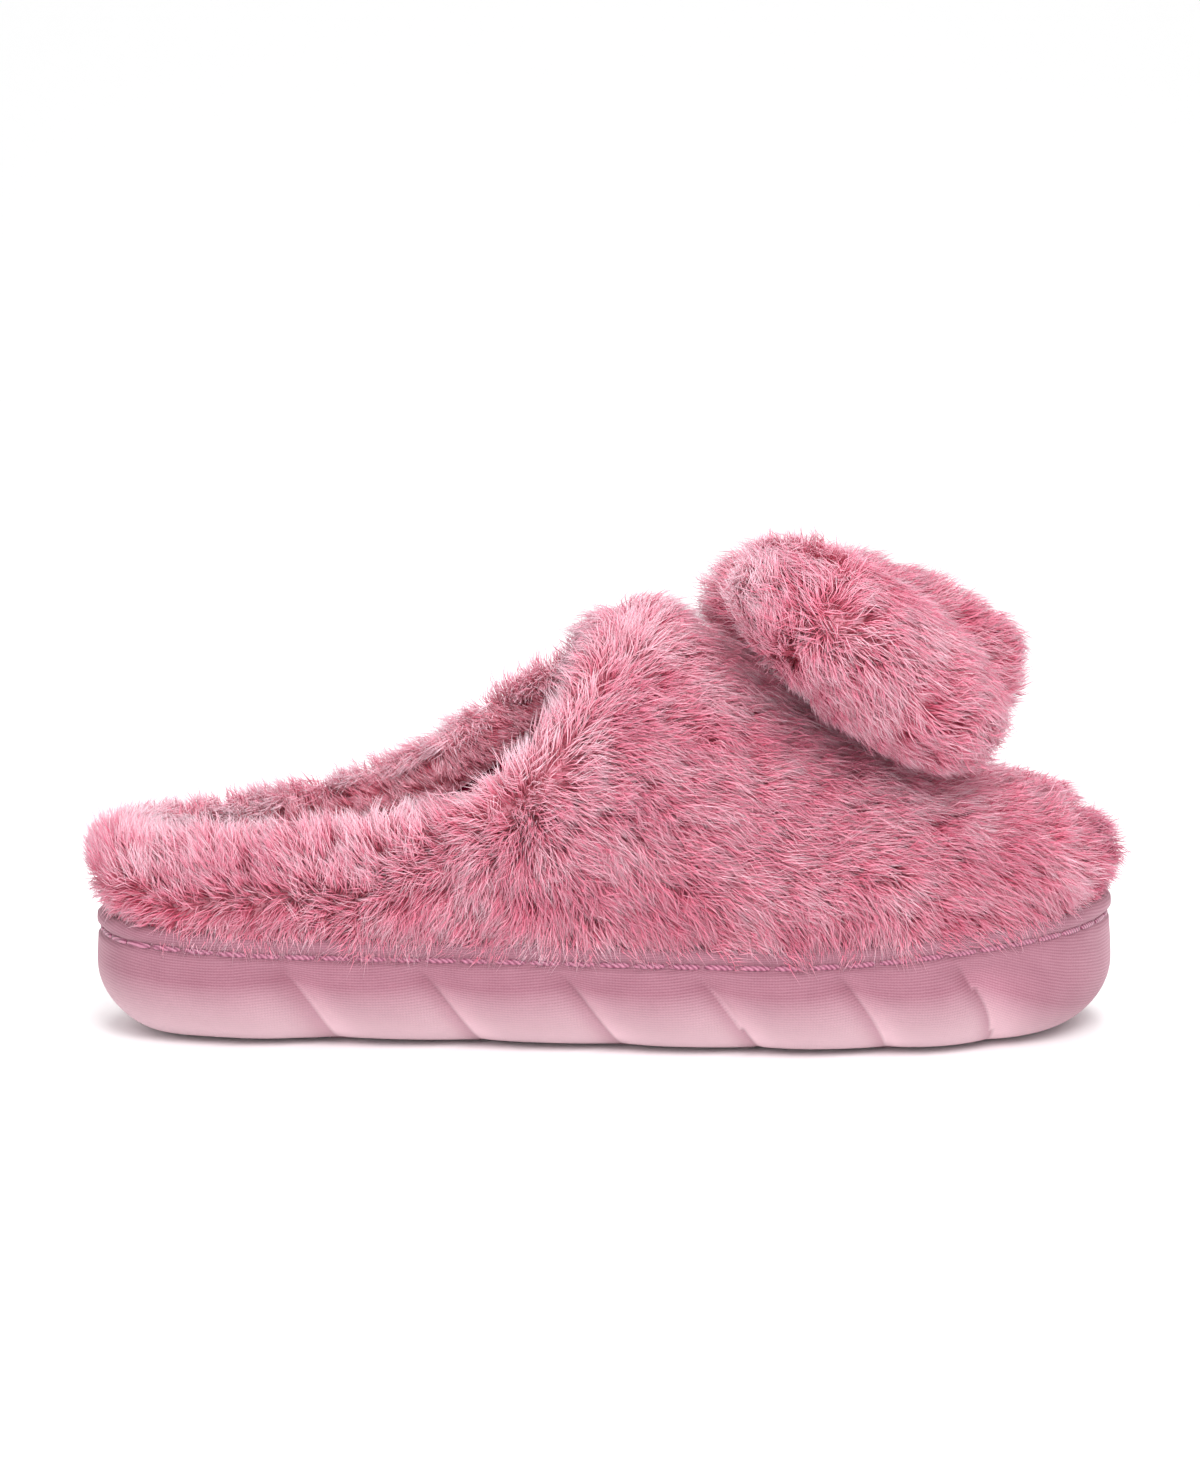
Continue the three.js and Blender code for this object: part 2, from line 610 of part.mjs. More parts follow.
slipper.add(shoe);
slipper.updateMatrixWorld(true);
const box = new THREE.Box3().setFromObject(slipper, true);
shoe.position.set(-(box.min.x + box.max.x) / 2, -(box.min.y + box.max.y) / 2, -box.min.z);

export default slipper;
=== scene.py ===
"""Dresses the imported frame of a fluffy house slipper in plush, knit, fleece, thread and rubber.

Every size in this file is in millimetres, in the shoe's own axes: x from the heel end of the sole towards
the toe, y towards the inner side of the foot, z up from the ground. Meshes are made in metres, in the
frame's axes.
"""

import logging
import math
from collections.abc import Callable
from dataclasses import dataclass, field
from enum import Enum

import bmesh
import bpy
import numpy as np
from mathutils import Matrix, Vector, noise


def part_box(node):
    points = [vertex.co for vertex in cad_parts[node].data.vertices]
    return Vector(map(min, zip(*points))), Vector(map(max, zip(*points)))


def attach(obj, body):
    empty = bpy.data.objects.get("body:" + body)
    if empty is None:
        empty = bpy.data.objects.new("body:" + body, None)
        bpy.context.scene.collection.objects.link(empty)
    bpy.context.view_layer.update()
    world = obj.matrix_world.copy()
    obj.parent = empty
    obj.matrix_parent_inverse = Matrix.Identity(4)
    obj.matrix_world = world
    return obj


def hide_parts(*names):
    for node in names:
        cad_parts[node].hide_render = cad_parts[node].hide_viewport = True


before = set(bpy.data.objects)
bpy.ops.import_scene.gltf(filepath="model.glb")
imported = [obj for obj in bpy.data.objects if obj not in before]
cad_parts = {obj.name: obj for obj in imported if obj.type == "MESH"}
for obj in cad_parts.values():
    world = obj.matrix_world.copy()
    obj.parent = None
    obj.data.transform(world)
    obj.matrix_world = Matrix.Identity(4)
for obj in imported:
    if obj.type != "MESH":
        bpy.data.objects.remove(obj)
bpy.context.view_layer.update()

log = logging.getLogger("slipper")
MM = 0.001
BODY = "root"
Array = np.ndarray
Colour = tuple[float, float, float, float]
Socket = bpy.types.NodeSocket


# ---- Small helpers ------------------------------------------------------------------------------


def srgb(red: float, green: float, blue: float) -> Colour:
    """A shade given in 0 to 255, as the linear colour that a shader takes.

    Args:
        red: Red, 0 to 255.
        green: Green, 0 to 255.
        blue: Blue, 0 to 255.

    Returns:
        Linear red, green, blue and an alpha of 1.
    """
    linear = [((c / 255 + 0.055) / 1.055) ** 2.4 if c > 10 else c / 255 / 12.92 for c in (red, green, blue)]
    return (*linear, 1.0)


def smoothstep(value: Array, low: float, high: float) -> Array:
    """0 below low, 1 above high, and a soft ramp between them."""
    share = np.clip((np.asarray(value, float) - low) / (high - low), 0, 1)
    return share * share * (3 - 2 * share)


def unit(vectors: Array) -> Array:
    """The vectors at length 1."""
    return vectors / np.maximum(np.linalg.norm(vectors, axis=-1, keepdims=True), 1e-12)


def spline(points: Array, closed: bool, steps: int = 40) -> Array:
    """A centripetal Catmull-Rom curve through points.

    Args:
        points: The points, one row each.
        closed: True if the curve comes back to its first point.
        steps: Samples on each span.

    Returns:
        The curve's samples, one row each.
    """
    pts = np.asarray(points, float)
    if not closed:
        pts = np.vstack([2 * pts[0] - pts[1], pts, 2 * pts[-1] - pts[-2]])
    count = len(pts)
    share = np.linspace(0, 1, steps, endpoint=False)[:, None]
    samples = []
    for i in range(count) if closed else range(1, count - 2):
        a, b, c, d = (pts[(i + k) % count] for k in (-1, 0, 1, 2))
        ab, bc, cd = (math.sqrt(np.linalg.norm(q - p)) for p, q in ((a, b), (b, c), (c, d)))
        leave = ((b - a) / ab - (c - a) / (ab + bc) + (c - b) / bc) * bc
        arrive = ((c - b) / bc - (d - b) / (bc + cd) + (d - c) / cd) * bc
        cubic, square = share**3, share**2
        samples.append(
            (2 * cubic - 3 * square + 1) * b
            + (cubic - 2 * square + share) * leave
            + (3 * square - 2 * cubic) * c
            + (cubic - square) * arrive
        )
    return np.vstack(samples if closed else [*samples, pts[-2:-1]])


def waves(places: Array, size: float, seed: int) -> Array:
    """Smooth random values over space.

    Args:
        places: Points in millimetres, one row each.
        size: The width of a wave, in millimetres.
        seed: Which of many patterns.

    Returns:
        One value from about -1 to 1 for each point.
    """
    shift = Vector((seed * 17.3, seed * 5.1, seed * 9.7))
    return np.array([noise.noise(Vector(p) / size + shift) for p in places]) * 1.6


# ---- The shape of the shoe ----------------------------------------------------------------------


class Girth(Enum):
    """The width that a part of the sole's outline is measured in."""

    HEEL = "heel_width"
    WAIST = "waist_width"
    BALL = "ball_width"


class Side(Enum):
    """A side of the foot, as its sign across the shoe."""

    OUTER = -1
    INNER = 1


@dataclass(frozen=True)
class Shoe:
    """The sole's outline, its lip, and the dome and the topline of the upper, as the frame has them."""

    length: float = 265.0
    ball_width: float = 99.0
    waist_width: float = 78.0
    heel_width: float = 74.0
    rim_height: float = 29.5
    heel_rise: float = 2.0
    toe_rise: float = 5.5
    overhang: float = 2.5
    instep_height: float = 111.0
    toe_height: float = 62.0
    arch_power: float = 2.2
    heel_centre: float = 38.0
    toe_centre: float = 224.0
    outline_shares: tuple[tuple[Girth, tuple[tuple[float, float], ...]], ...] = (
        (Girth.HEEL, ((0, 0), (0.035, -0.34), (0.13, -0.49), (0.27, -0.51))),
        (Girth.WAIST, ((0.41, -0.53),)),
        (Girth.BALL, ((0.56, -0.475), (0.71, -0.505), (0.84, -0.46), (0.935, -0.325), (0.985, -0.135),
                      (1, 0.06), (0.982, 0.245), (0.93, 0.385), (0.83, 0.475), (0.7, 0.495), (0.56, 0.43))),
        (Girth.WAIST, ((0.41, 0.47),)),
        (Girth.HEEL, ((0.27, 0.48), (0.13, 0.47), (0.035, 0.33))),
    )  # fmt: skip
    crown_shares: tuple[tuple[float, float], ...] = (
        (-0.1, 1), (0.3, 1), (0.5, 1), (0.54, 1.03), (0.57, 0.97), (0.6, 0.87), (0.64, 0.7), (0.69, 0.5),
        (0.75, 0.32), (0.83, 0.15), (0.89, 0.09), (0.94, 0.04), (1.1, -0.03),
    )  # fmt: skip
    outer_edge: tuple[tuple[float, float], ...] = (
        (-32, 55.5), (20, 57), (63, 60), (85, 63.5), (100, 69.5), (106, 73.5), (114, 82.5), (120, 92),
        (123.4, 100), (127.5, 107), (133, 113), (141, 121),
    )  # fmt: skip
    inner_edge: tuple[tuple[float, float], ...] = (
        (-32, 55.5), (24, 56), (56, 61), (85, 73), (100, 84.5), (108, 90.5), (115, 95),
        (121, 99.5), (126, 105), (130, 111), (137, 121),
    )  # fmt: skip
    edge: Array = field(init=False, repr=False)
    outwards: Array = field(init=False, repr=False)
    run: Array = field(init=False, repr=False)
    crown_line: Array = field(init=False, repr=False)
    edges: tuple[Array, Array] = field(init=False, repr=False)

    def __post_init__(self) -> None:
        """Works out the curves once."""
        marks = [
            (along * self.length, across * getattr(self, girth.value))
            for girth, shares in self.outline_shares
            for along, across in shares
        ]
        edge = spline(np.array(marks), closed=True)
        ahead = unit(np.roll(edge, -1, 0) - np.roll(edge, 1, 0))
        step = np.linalg.norm(np.roll(edge, -1, 0) - edge, axis=1)
        set_once = object.__setattr__
        set_once(self, "edge", edge)
        set_once(self, "outwards", np.stack([ahead[:, 1], -ahead[:, 0]], 1))
        set_once(self, "run", np.concatenate([[0], np.cumsum(step)]))
        crown = np.array(self.crown_shares) * (self.length, self.instep_height - self.toe_height)
        edges = (spline(np.array(line, float), closed=False) for line in (self.outer_edge, self.inner_edge))
        set_once(self, "crown_line", spline(crown + (0, self.toe_height), closed=False))
        set_once(self, "edges", tuple(edges))

    def rim(self, x: Array) -> Array:
        """The height of the cup's lip at x."""
        heel = self.heel_rise * (1 - smoothstep(x, 0, 0.3 * self.length))
        return self.rim_height + heel + self.toe_rise * smoothstep(x, 0.65 * self.length, self.length)

    def crown(self, x: Array) -> Array:
        """The height of the plush along the middle of the foot at x."""
        return np.interp(x, self.crown_line[:, 0], self.crown_line[:, 1])

    def topline(self, x: Array, y: Array, drop: float) -> Array:
        """The height of the collar's edge.

        Args:
            x: Places along the shoe.
            y: Places across it: the inner side's edge is the higher one.
            drop: How far the edge is moved in squarely.

        Returns:
            One height for each place.
        """
        heights = []
        for line in self.edges:
            ahead = unit(np.gradient(line, axis=0))
            moved = line + np.stack([ahead[:, 1], -ahead[:, 0]], 1) * drop
            heights.append(np.interp(x, moved[:, 0], moved[:, 1]))
        return np.where(y < 0, *heights)

    def ring(self, count: int, depth: float) -> tuple[Array, Array, Array]:
        """Evenly spaced points inside the sole's edge.

        Args:
            count: How many.
            depth: How far inside the edge.

        Returns:
            The points in plan, their outward directions, and their places along the edge.
        """
        places = np.linspace(0, self.run[-1], count, endpoint=False)
        point, out = self.along(places)
        return point - out * depth, out, places

    def along(self, places: Array) -> tuple[Array, Array]:
        """Points of the sole's edge at places along it.

        Args:
            places: Distances along the edge, which may run past its end.

        Returns:
            The points in plan, and their outward directions.
        """
        around = places % self.run[-1]
        point, out = (
            np.stack([np.interp(around, self.run, np.append(column, column[0])) for column in table.T], 1)
            for table in (self.edge, self.outwards)
        )
        return point, unit(out)

    def stations(self, depth: float, arc: int, side: Array) -> tuple[Array, Array]:
        """Foot points of the upper all round the shoe, and the ridge point that each one arches to.

        Both sides have the same x values, so their arches meet on the ridge, and the toe and the heel
        fan out from one ridge point each.

        Args:
            depth: How far inside the sole's edge the foot points lie.
            arc: Points round the toe, and round the heel.
            side: x values of the points along each side, rising.

        Returns:
            Foot points and ridge points in plan: outer side, toe, inner side, heel.
        """
        loop = self.edge - self.outwards * depth
        first, last = int(loop[:, 0].argmin()), int(loop[:, 0].argmax())
        loop = np.roll(loop, -first, 0)
        turn = (last - first) % len(loop)
        outer = np.interp(side, loop[: turn + 1, 0], loop[: turn + 1, 1])
        inner = np.interp(side, loop[turn:, 0][::-1], loop[turn:, 1][::-1])
        ridge_side = np.stack([side, (outer + inner) / 2], 1)

        def fan(centre: Array, angles: Array) -> Array:
            """Points of the sole's edge, seen from a centre.

            Args:
                centre: The centre in plan.
                angles: Angles round it.

            Returns:
                One point for each angle.
            """
            around = loop - centre
            angle = np.arctan2(around[:, 1], around[:, 0])
            order = np.argsort(angle)
            far = np.linalg.norm(around, axis=1)[order]
            reach = np.interp(angles, angle[order], far, period=2 * math.pi)
            return centre + reach[:, None] * np.stack([np.cos(angles), np.sin(angles)], 1)

        quarter = math.pi / 2
        toe = fan(ridge_side[-1], np.linspace(-quarter, quarter, arc + 2)[1:-1])
        heel = fan(ridge_side[0], np.linspace(quarter, 3 * quarter, arc + 2)[1:-1])
        feet = np.vstack([np.stack([side, outer], 1), toe, np.stack([side, inner], 1)[::-1], heel])
        heel_ridge, toe_ridge = (np.tile(ridge_side[end], (arc, 1)) for end in (0, -1))
        return feet, np.vstack([ridge_side, toe_ridge, ridge_side[::-1], heel_ridge])

    def arch(self, feet: Array, ridge: Array, depth: float, angle: Array) -> Array:
        """Points on the dome of the upper.

        Args:
            feet: Foot points in plan.
            ridge: Their ridge points in plan.
            depth: How far the surface lies inside the plush's outer surface.
            angle: How far up the arch, from 0 at the foot to a right angle at the ridge.

        Returns:
            Points in the shoe's axes.
        """
        power = 2 / self.arch_power
        base = self.rim(feet[:, 0])
        across = np.cos(angle) ** power
        height = base + (self.crown(ridge[:, 0]) - depth - base) * np.sin(angle) ** power
        return np.column_stack([ridge + (feet - ridge) * across[:, None], height])

    def arch_end(self, feet: Array, ridge: Array, depth: float, drop: float) -> Array:
        """Where each arch meets the topline.

        Args:
            feet: Foot points in plan.
            ridge: Their ridge points in plan.
            depth: How far the surface lies inside the plush's outer surface.
            drop: How far the topline is moved in.

        Returns:
            The angle up each arch, or a right angle where it stays below the topline.
        """
        base = self.rim(feet[:, 0])
        share = (self.topline(*feet.T, drop) - base) / (self.crown(ridge[:, 0]) - depth - base)
        return np.arcsin(np.clip(share, 0.02, 1) ** (self.arch_power / 2))


SHOE = Shoe()
SOLE_LOW, SOLE_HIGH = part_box("sole_wrap")
HEEL_END = Vector((SOLE_LOW.x, (SOLE_LOW.y + SOLE_HIGH.y) / 2, 0))
EDGE_MIDDLE = (SHOE.edge[:, 1].min() + SHOE.edge[:, 1].max()) / 2
ORIGIN = np.array([HEEL_END.x, HEEL_END.y - EDGE_MIDDLE * MM, 0.0])
TO_FRAME = Matrix.LocRotScale(Vector(ORIGIN), None, Vector((MM, MM, MM)))


def to_frame(points: Array) -> Array:
    """Millimetres in the shoe's axes to metres in the frame's."""
    return points * MM + ORIGIN


def to_shoe(points: Array) -> Array:
    """Metres in the frame's axes to millimetres in the shoe's."""
    return (points - ORIGIN) / MM


# ---- Meshes -------------------------------------------------------------------------------------


def smooth_mesh(name: str, bm: bmesh.types.BMesh) -> bpy.types.Mesh:
    """Ends an edited mesh and keeps it, smoothly shaded.

    Args:
        name: The kept mesh's name.
        bm: The edited mesh.

    Returns:
        The kept mesh.
    """
    mesh = bpy.data.meshes.new(name)
    bm.to_mesh(mesh)
    bm.free()
    mesh.shade_smooth()
    return mesh


def sheet_mesh(
    name: str,
    table: Array,
    closed: bool,
    maps: dict[str, Array] | None = None,
    rise: Array | None = None,
    inwards: bool = False,
) -> bpy.types.Mesh:
    """A grid warped to a table of points and welded where its edges meet.

    Args:
        name: The mesh's name.
        table: Points in the shoe's axes, as rows by columns by 3.
        closed: True if the last column joins the first.
        maps: Values for each point, rows by columns by 2, kept as maps of those names. The first value
            grows round a closed sheet.
        rise: The direction up the surface at each point, kept as an attribute of that name.
        inwards: True if the sheet faces the middle of the shoe.

    Returns:
        The mesh, in the frame's axes.
    """

    def shut(values: Array) -> Array:
        """The values with the first column again at the end of a closed sheet."""
        return np.concatenate([values, values[:, :1]], 1) if closed else values

    points = shut(table)
    rows, columns = points.shape[:2]
    bm = bmesh.new()
    bm.loops.layers.uv.new("Grid")
    bmesh.ops.create_grid(bm, x_segments=columns - 1, y_segments=rows - 1, size=0.5, calc_uvs=True)
    for vertex in bm.verts:
        i, j = round((vertex.co.y + 0.5) * (rows - 1)), round((vertex.co.x + 0.5) * (columns - 1))
        vertex.co = points[i, j]
    for key, values in (maps or {}).items():
        table_uv = np.concatenate([values, values[:, :1] + (SHOE.run[-1] * MM, 0)], 1) if closed else values
        own = bm.loops.layers.uv.new(key)
        layer = bm.loops.layers.uv["Grid"]
        for face in bm.faces:
            for loop in face.loops:
                i, j = (round(loop[layer].uv[k] * (n - 1)) for k, n in ((1, rows), (0, columns)))
                loop[own].uv = table_uv[i, j]
    bm.loops.layers.uv.remove(bm.loops.layers.uv["Grid"])
    if rise is not None:
        up = bm.verts.layers.float_vector.new("rise")
        grid = np.array([v.co for v in bm.verts])
        flat, direction = points.reshape(-1, 3), shut(rise).reshape(-1, 3)
        order = {tuple(np.round(p, 3)): k for k, p in enumerate(flat)}
        for vertex, place in zip(bm.verts, grid):
            vertex[up] = direction[order.get(tuple(np.round(place, 3)), 0)]
    bmesh.ops.remove_doubles(bm, verts=bm.verts, dist=0.02)
    bmesh.ops.transform(bm, matrix=TO_FRAME, verts=bm.verts)
    bmesh.ops.recalc_face_normals(bm, faces=bm.faces)
    middle = sum((v.co for v in bm.verts), Vector()) / len(bm.verts)
    leaving = sum(f.normal.dot(f.calc_center_median() - middle) * f.calc_area() for f in bm.faces)
    if (leaving < 0) != inwards:
        bmesh.ops.reverse_faces(bm, faces=bm.faces)
    return smooth_mesh(name, bm)


def put(name: str, mesh: bpy.types.Mesh, finish: "Finish", slot: str, *nodes: str) -> bpy.types.Object:
    """Adds a piece to the scene, on the slipper's body.

    Args:
        name: The piece's name.
        mesh: Its mesh.
        finish: What it is made of.
        slot: The record's material slot, not used.
        nodes: The frame's nodes that it stands for.

    Returns:
        The piece.
    """
    piece = bpy.data.objects.new(name, mesh)
    bpy.context.scene.collection.objects.link(piece)
    piece.data.materials.clear()
    piece.data.materials.append(finish.material())
    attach(piece, BODY)
    if nodes:
        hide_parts(*nodes)
    log.info("%s: %d faces", name, len(mesh.polygons))
    return piece


def put_sheet(
    name: str, rows: Array, finish: "Finish", slot: str, *nodes: str, **how: object
) -> bpy.types.Object:
    """Adds a closed sheet as a piece.

    Args:
        name: The name of the piece and of its mesh.
        rows: Its points in the shoe's axes, as rows by columns by 3.
        finish: What it is made of.
        slot: The record's material slot.
        nodes: The frame's nodes that it stands for.
        how: What else sheet_mesh takes.

    Returns:
        The piece.
    """
    return put(name, sheet_mesh(name, np.array(rows), True, **how), finish, slot, *nodes)


def thicken(piece: bpy.types.Object, thickness: float, offset: float = -1.0) -> None:
    """Gives a sheet its thickness.

    Args:
        piece: The sheet.
        thickness: In millimetres.
        offset: -1 grows inwards and 1 outwards.
    """
    wall = piece.modifiers.new("Thickness", "SOLIDIFY")
    wall.thickness = thickness * MM
    wall.offset = offset


def dress(node: str, finish: "Finish") -> None:
    """Gives one of the frame's own nodes its finish.

    Args:
        node: The node's name.
        finish: What it is made of.
    """
    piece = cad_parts[node]
    piece.data.materials.clear()
    piece.data.materials.append(finish.material())
    log.info("%s: dressed as %s", node, finish.name)


# ---- Finishes -----------------------------------------------------------------------------------


class Nodes:
    """A material's node tree with short ways to add to it."""

    def __init__(self, name: str) -> None:
        """Starts a material with one Principled shader.

        Args:
            name: The material's name.
        """
        self.made = bpy.data.materials.new(name)
        self.made.use_nodes = True
        self.tree = self.made.node_tree
        self.shader = self.tree.nodes["Principled BSDF"]

    def add(self, kind: str, **settings: object) -> bpy.types.Node:
        """A new node with its properties set.

        Args:
            kind: The node's type.
            settings: Its properties.

        Returns:
            The node.
        """
        node = self.tree.nodes.new(kind)
        for key, value in settings.items():
            setattr(node, key, value)
        return node

    def link(self, start: Socket, end: Socket) -> None:
        """Joins two sockets."""
        self.tree.links.new(start, end)

    def math(self, operation: str, *values: Socket | float) -> Socket:
        """A sum on sockets or numbers.

        Args:
            operation: The Math node's operation.
            values: Its inputs, in order.

        Returns:
            The result's socket.
        """
        node = self.add("ShaderNodeMath", operation=operation)
        for socket, value in zip(node.inputs, values):
            if isinstance(value, (int, float)):
                socket.default_value = value
            else:
                self.link(value, socket)
        return node.outputs[0]

    def halves(self, one: Socket, two: Socket) -> Socket:
        """Half of one value and half of another."""
        return self.math("MULTIPLY_ADD", one, 0.5, self.math("MULTIPLY", two, 0.5))

    def noise(self, vector: Socket | None, scale: float, detail: float = 2.0) -> Socket:
        """A noise pattern's value.

        Args:
            vector: Where it is read, or None for Object coordinates.
            scale: Waves in a metre.
            detail: Finer layers on top.

        Returns:
            The value's socket.
        """
        node = self.add("ShaderNodeTexNoise")
        node.inputs["Scale"].default_value = scale
        node.inputs["Detail"].default_value = detail
        self.link(vector or self.place(), node.inputs["Vector"])
        return node.outputs["Fac"]

    def place(self) -> Socket:
        """The piece's Object coordinates."""
        return self.add("ShaderNodeTexCoord").outputs["Object"]

    def map(self, name: str) -> Socket:
        """One of the piece's own maps."""
        return self.add("ShaderNodeUVMap", uv_map=name).outputs["UV"]

    def parts(self, vector: Socket) -> tuple[Socket, Socket]:
        """The first two values of a vector.

        Args:
            vector: The vector's socket.

        Returns:
            Their sockets.
        """
        parts = self.add("ShaderNodeSeparateXYZ")
        self.link(vector, parts.inputs[0])
        return parts.outputs["X"], parts.outputs["Y"]

    def ramp(self, value: Socket, *stops: tuple[float, Colour]) -> Socket:
        """Colours along a value.

        Args:
            value: From 0 to 1.
            stops: Places and colours, rising.

        Returns:
            The colour's socket.
        """
        node = self.add("ShaderNodeValToRGB")
        elements = node.color_ramp.elements
        while len(elements) < len(stops):
            elements.new(0.5)
        for element, (place, colour) in zip(elements, stops):
            element.position, element.color = place, colour
        self.link(value, node.inputs["Fac"])
        return node.outputs["Color"]

    def mix(self, blend: str, factor: Socket | float, one: object, two: object) -> Socket:
        """Blends two colours.

        Args:
            blend: The Mix node's blend type.
            factor: How much of the second.
            one: The first colour or socket.
            two: The second colour or socket.

        Returns:
            The colour's socket.
        """
        node = self.add("ShaderNodeMix", data_type="RGBA", blend_type=blend)
        for socket, value in ((node.inputs[0], factor), (node.inputs[6], one), (node.inputs[7], two)):
            if isinstance(value, Socket):
                self.link(value, socket)
            else:
                socket.default_value = value
        return node.outputs[2]

    def paint(self, colour: Socket) -> None:
        """Gives the shader its colour."""
        self.link(colour, self.shader.inputs["Base Color"])

    def bump(self, height: Socket, distance: float) -> None:
        """Raises the surface by a height.

        Args:
            height: From 0 to 1.
            distance: What 1 stands for, in millimetres.
        """
        node = self.add("ShaderNodeBump")
        node.inputs["Distance"].default_value = distance * MM
        node.inputs["Strength"].default_value = 1.0
        self.link(height, node.inputs["Height"])
        self.link(node.outputs["Normal"], self.shader.inputs["Normal"])

    def set(self, **values: object) -> None:
        """Sets the shader's own sockets, with _ for a space in their names."""
        for key, value in values.items():
            self.shader.inputs[key.replace("_", " ")].default_value = value


class Finish:
    """A finish makes its material once and hands it out."""

    made: dict["Finish", bpy.types.Material] = {}

    def material(self) -> bpy.types.Material:
        """This finish's material.

        Returns:
            The same one each time.
        """
        if self not in Finish.made:
            Finish.made[self] = self.build()
        return Finish.made[self]

    def build(self) -> bpy.types.Material:
        """Makes the material. Each finish has its own."""
        raise NotImplementedError


WHITE = srgb(255, 255, 255)


@dataclass(frozen=True)
class Plush(Finish):
    """Long pile: its map runs across the shades of the tufts and up each hair from root to tip."""

    name: str
    root: Colour = srgb(240, 110, 140)
    middle: Colour = srgb(244, 158, 180)
    tip: Colour = srgb(253, 216, 227)
    # The frost colour is partly the pile's own pale tips and partly painted highlight.
    frost_and_highlight: Colour = srgb(250, 236, 244)
    frost_and_highlight_share: float = 0.85

    def build(self) -> bpy.types.Material:
        """Colours by the map alone, so every hair carries its own shade.

        Returns:
            The material.
        """
        n = Nodes(self.name)
        tone, height = n.parts(n.map("OFBake"))
        along = n.ramp(height, (0.0, self.root), (0.3, self.root), (0.62, self.middle), (0.95, self.tip))
        dull, pale, clear = srgb(212, 176, 192), srgb(236, 214, 222), srgb(246, 238, 242)
        shade = n.ramp(tone, (0.0, dull), (0.3, pale), (0.6, clear), (1.0, WHITE))
        # Pale tips on the palest tufts: partly the pile's own frosted tips, partly painted highlight on tufts
        # standing up into the light, as along the collar's edge and the bow's ends.
        frosted_and_lit = n.math("MULTIPLY", n.ramp(tone, (0.5, srgb(0, 0, 0)), (0.95, WHITE)), height)
        shaded = n.mix("MULTIPLY", 1.0, along, shade)
        n.paint(n.mix("MIX", n.math("MULTIPLY", frosted_and_lit, self.frost_and_highlight_share), shaded, self.frost_and_highlight))
        n.set(Roughness=0.62, Specular_IOR_Level=0.22, Sheen_Weight=0.25, Sheen_Roughness=0.5)
        n.set(Sheen_Tint=srgb(255, 214, 226))
        return n.made


@dataclass(frozen=True)
class Backing(Finish):
    """The cloth that the pile grows from."""

    name: str = "plush_backing"
    colour: Colour = srgb(234, 158, 176)

    def build(self) -> bpy.types.Material:
        """A matt rose cloth, mottled as the roots of the pile are.

        Returns:
            The material.
        """
        n = Nodes(self.name)
        dark = tuple(c * 0.8 for c in self.colour[:3]) + (1.0,)
        n.paint(n.ramp(n.noise(None, 420, 3), (0.35, dark), (0.65, self.colour)))
        n.bump(n.noise(None, 1500, 2), 0.5)
        n.set(Roughness=0.95, Specular_IOR_Level=0.1)
        return n.made


@dataclass(frozen=True)
class Fleece(Finish):
    """Short raspberry fleece, as deep as the shaded inside of the slipper looks, so its darkness is partly
    painted shade.
    """

    name: str = "raspberry_fleece"
    dark: Colour = srgb(116, 12, 44)
    light: Colour = srgb(168, 30, 74)

    def build(self) -> bpy.types.Material:
        """Curled fibres with a soft sheen.

        Returns:
            The material.
        """
        n = Nodes(self.name)
        fibres = n.noise(None, 900, 4)
        n.paint(n.ramp(n.halves(n.noise(None, 120, 2), fibres), (0.3, self.dark), (0.7, self.light)))
        n.bump(fibres, 0.8)
        n.set(Roughness=0.92, Specular_IOR_Level=0.15, Sheen_Weight=0.5, Sheen_Roughness=0.5)
        n.set(Sheen_Tint=srgb(220, 90, 130))
        return n.made


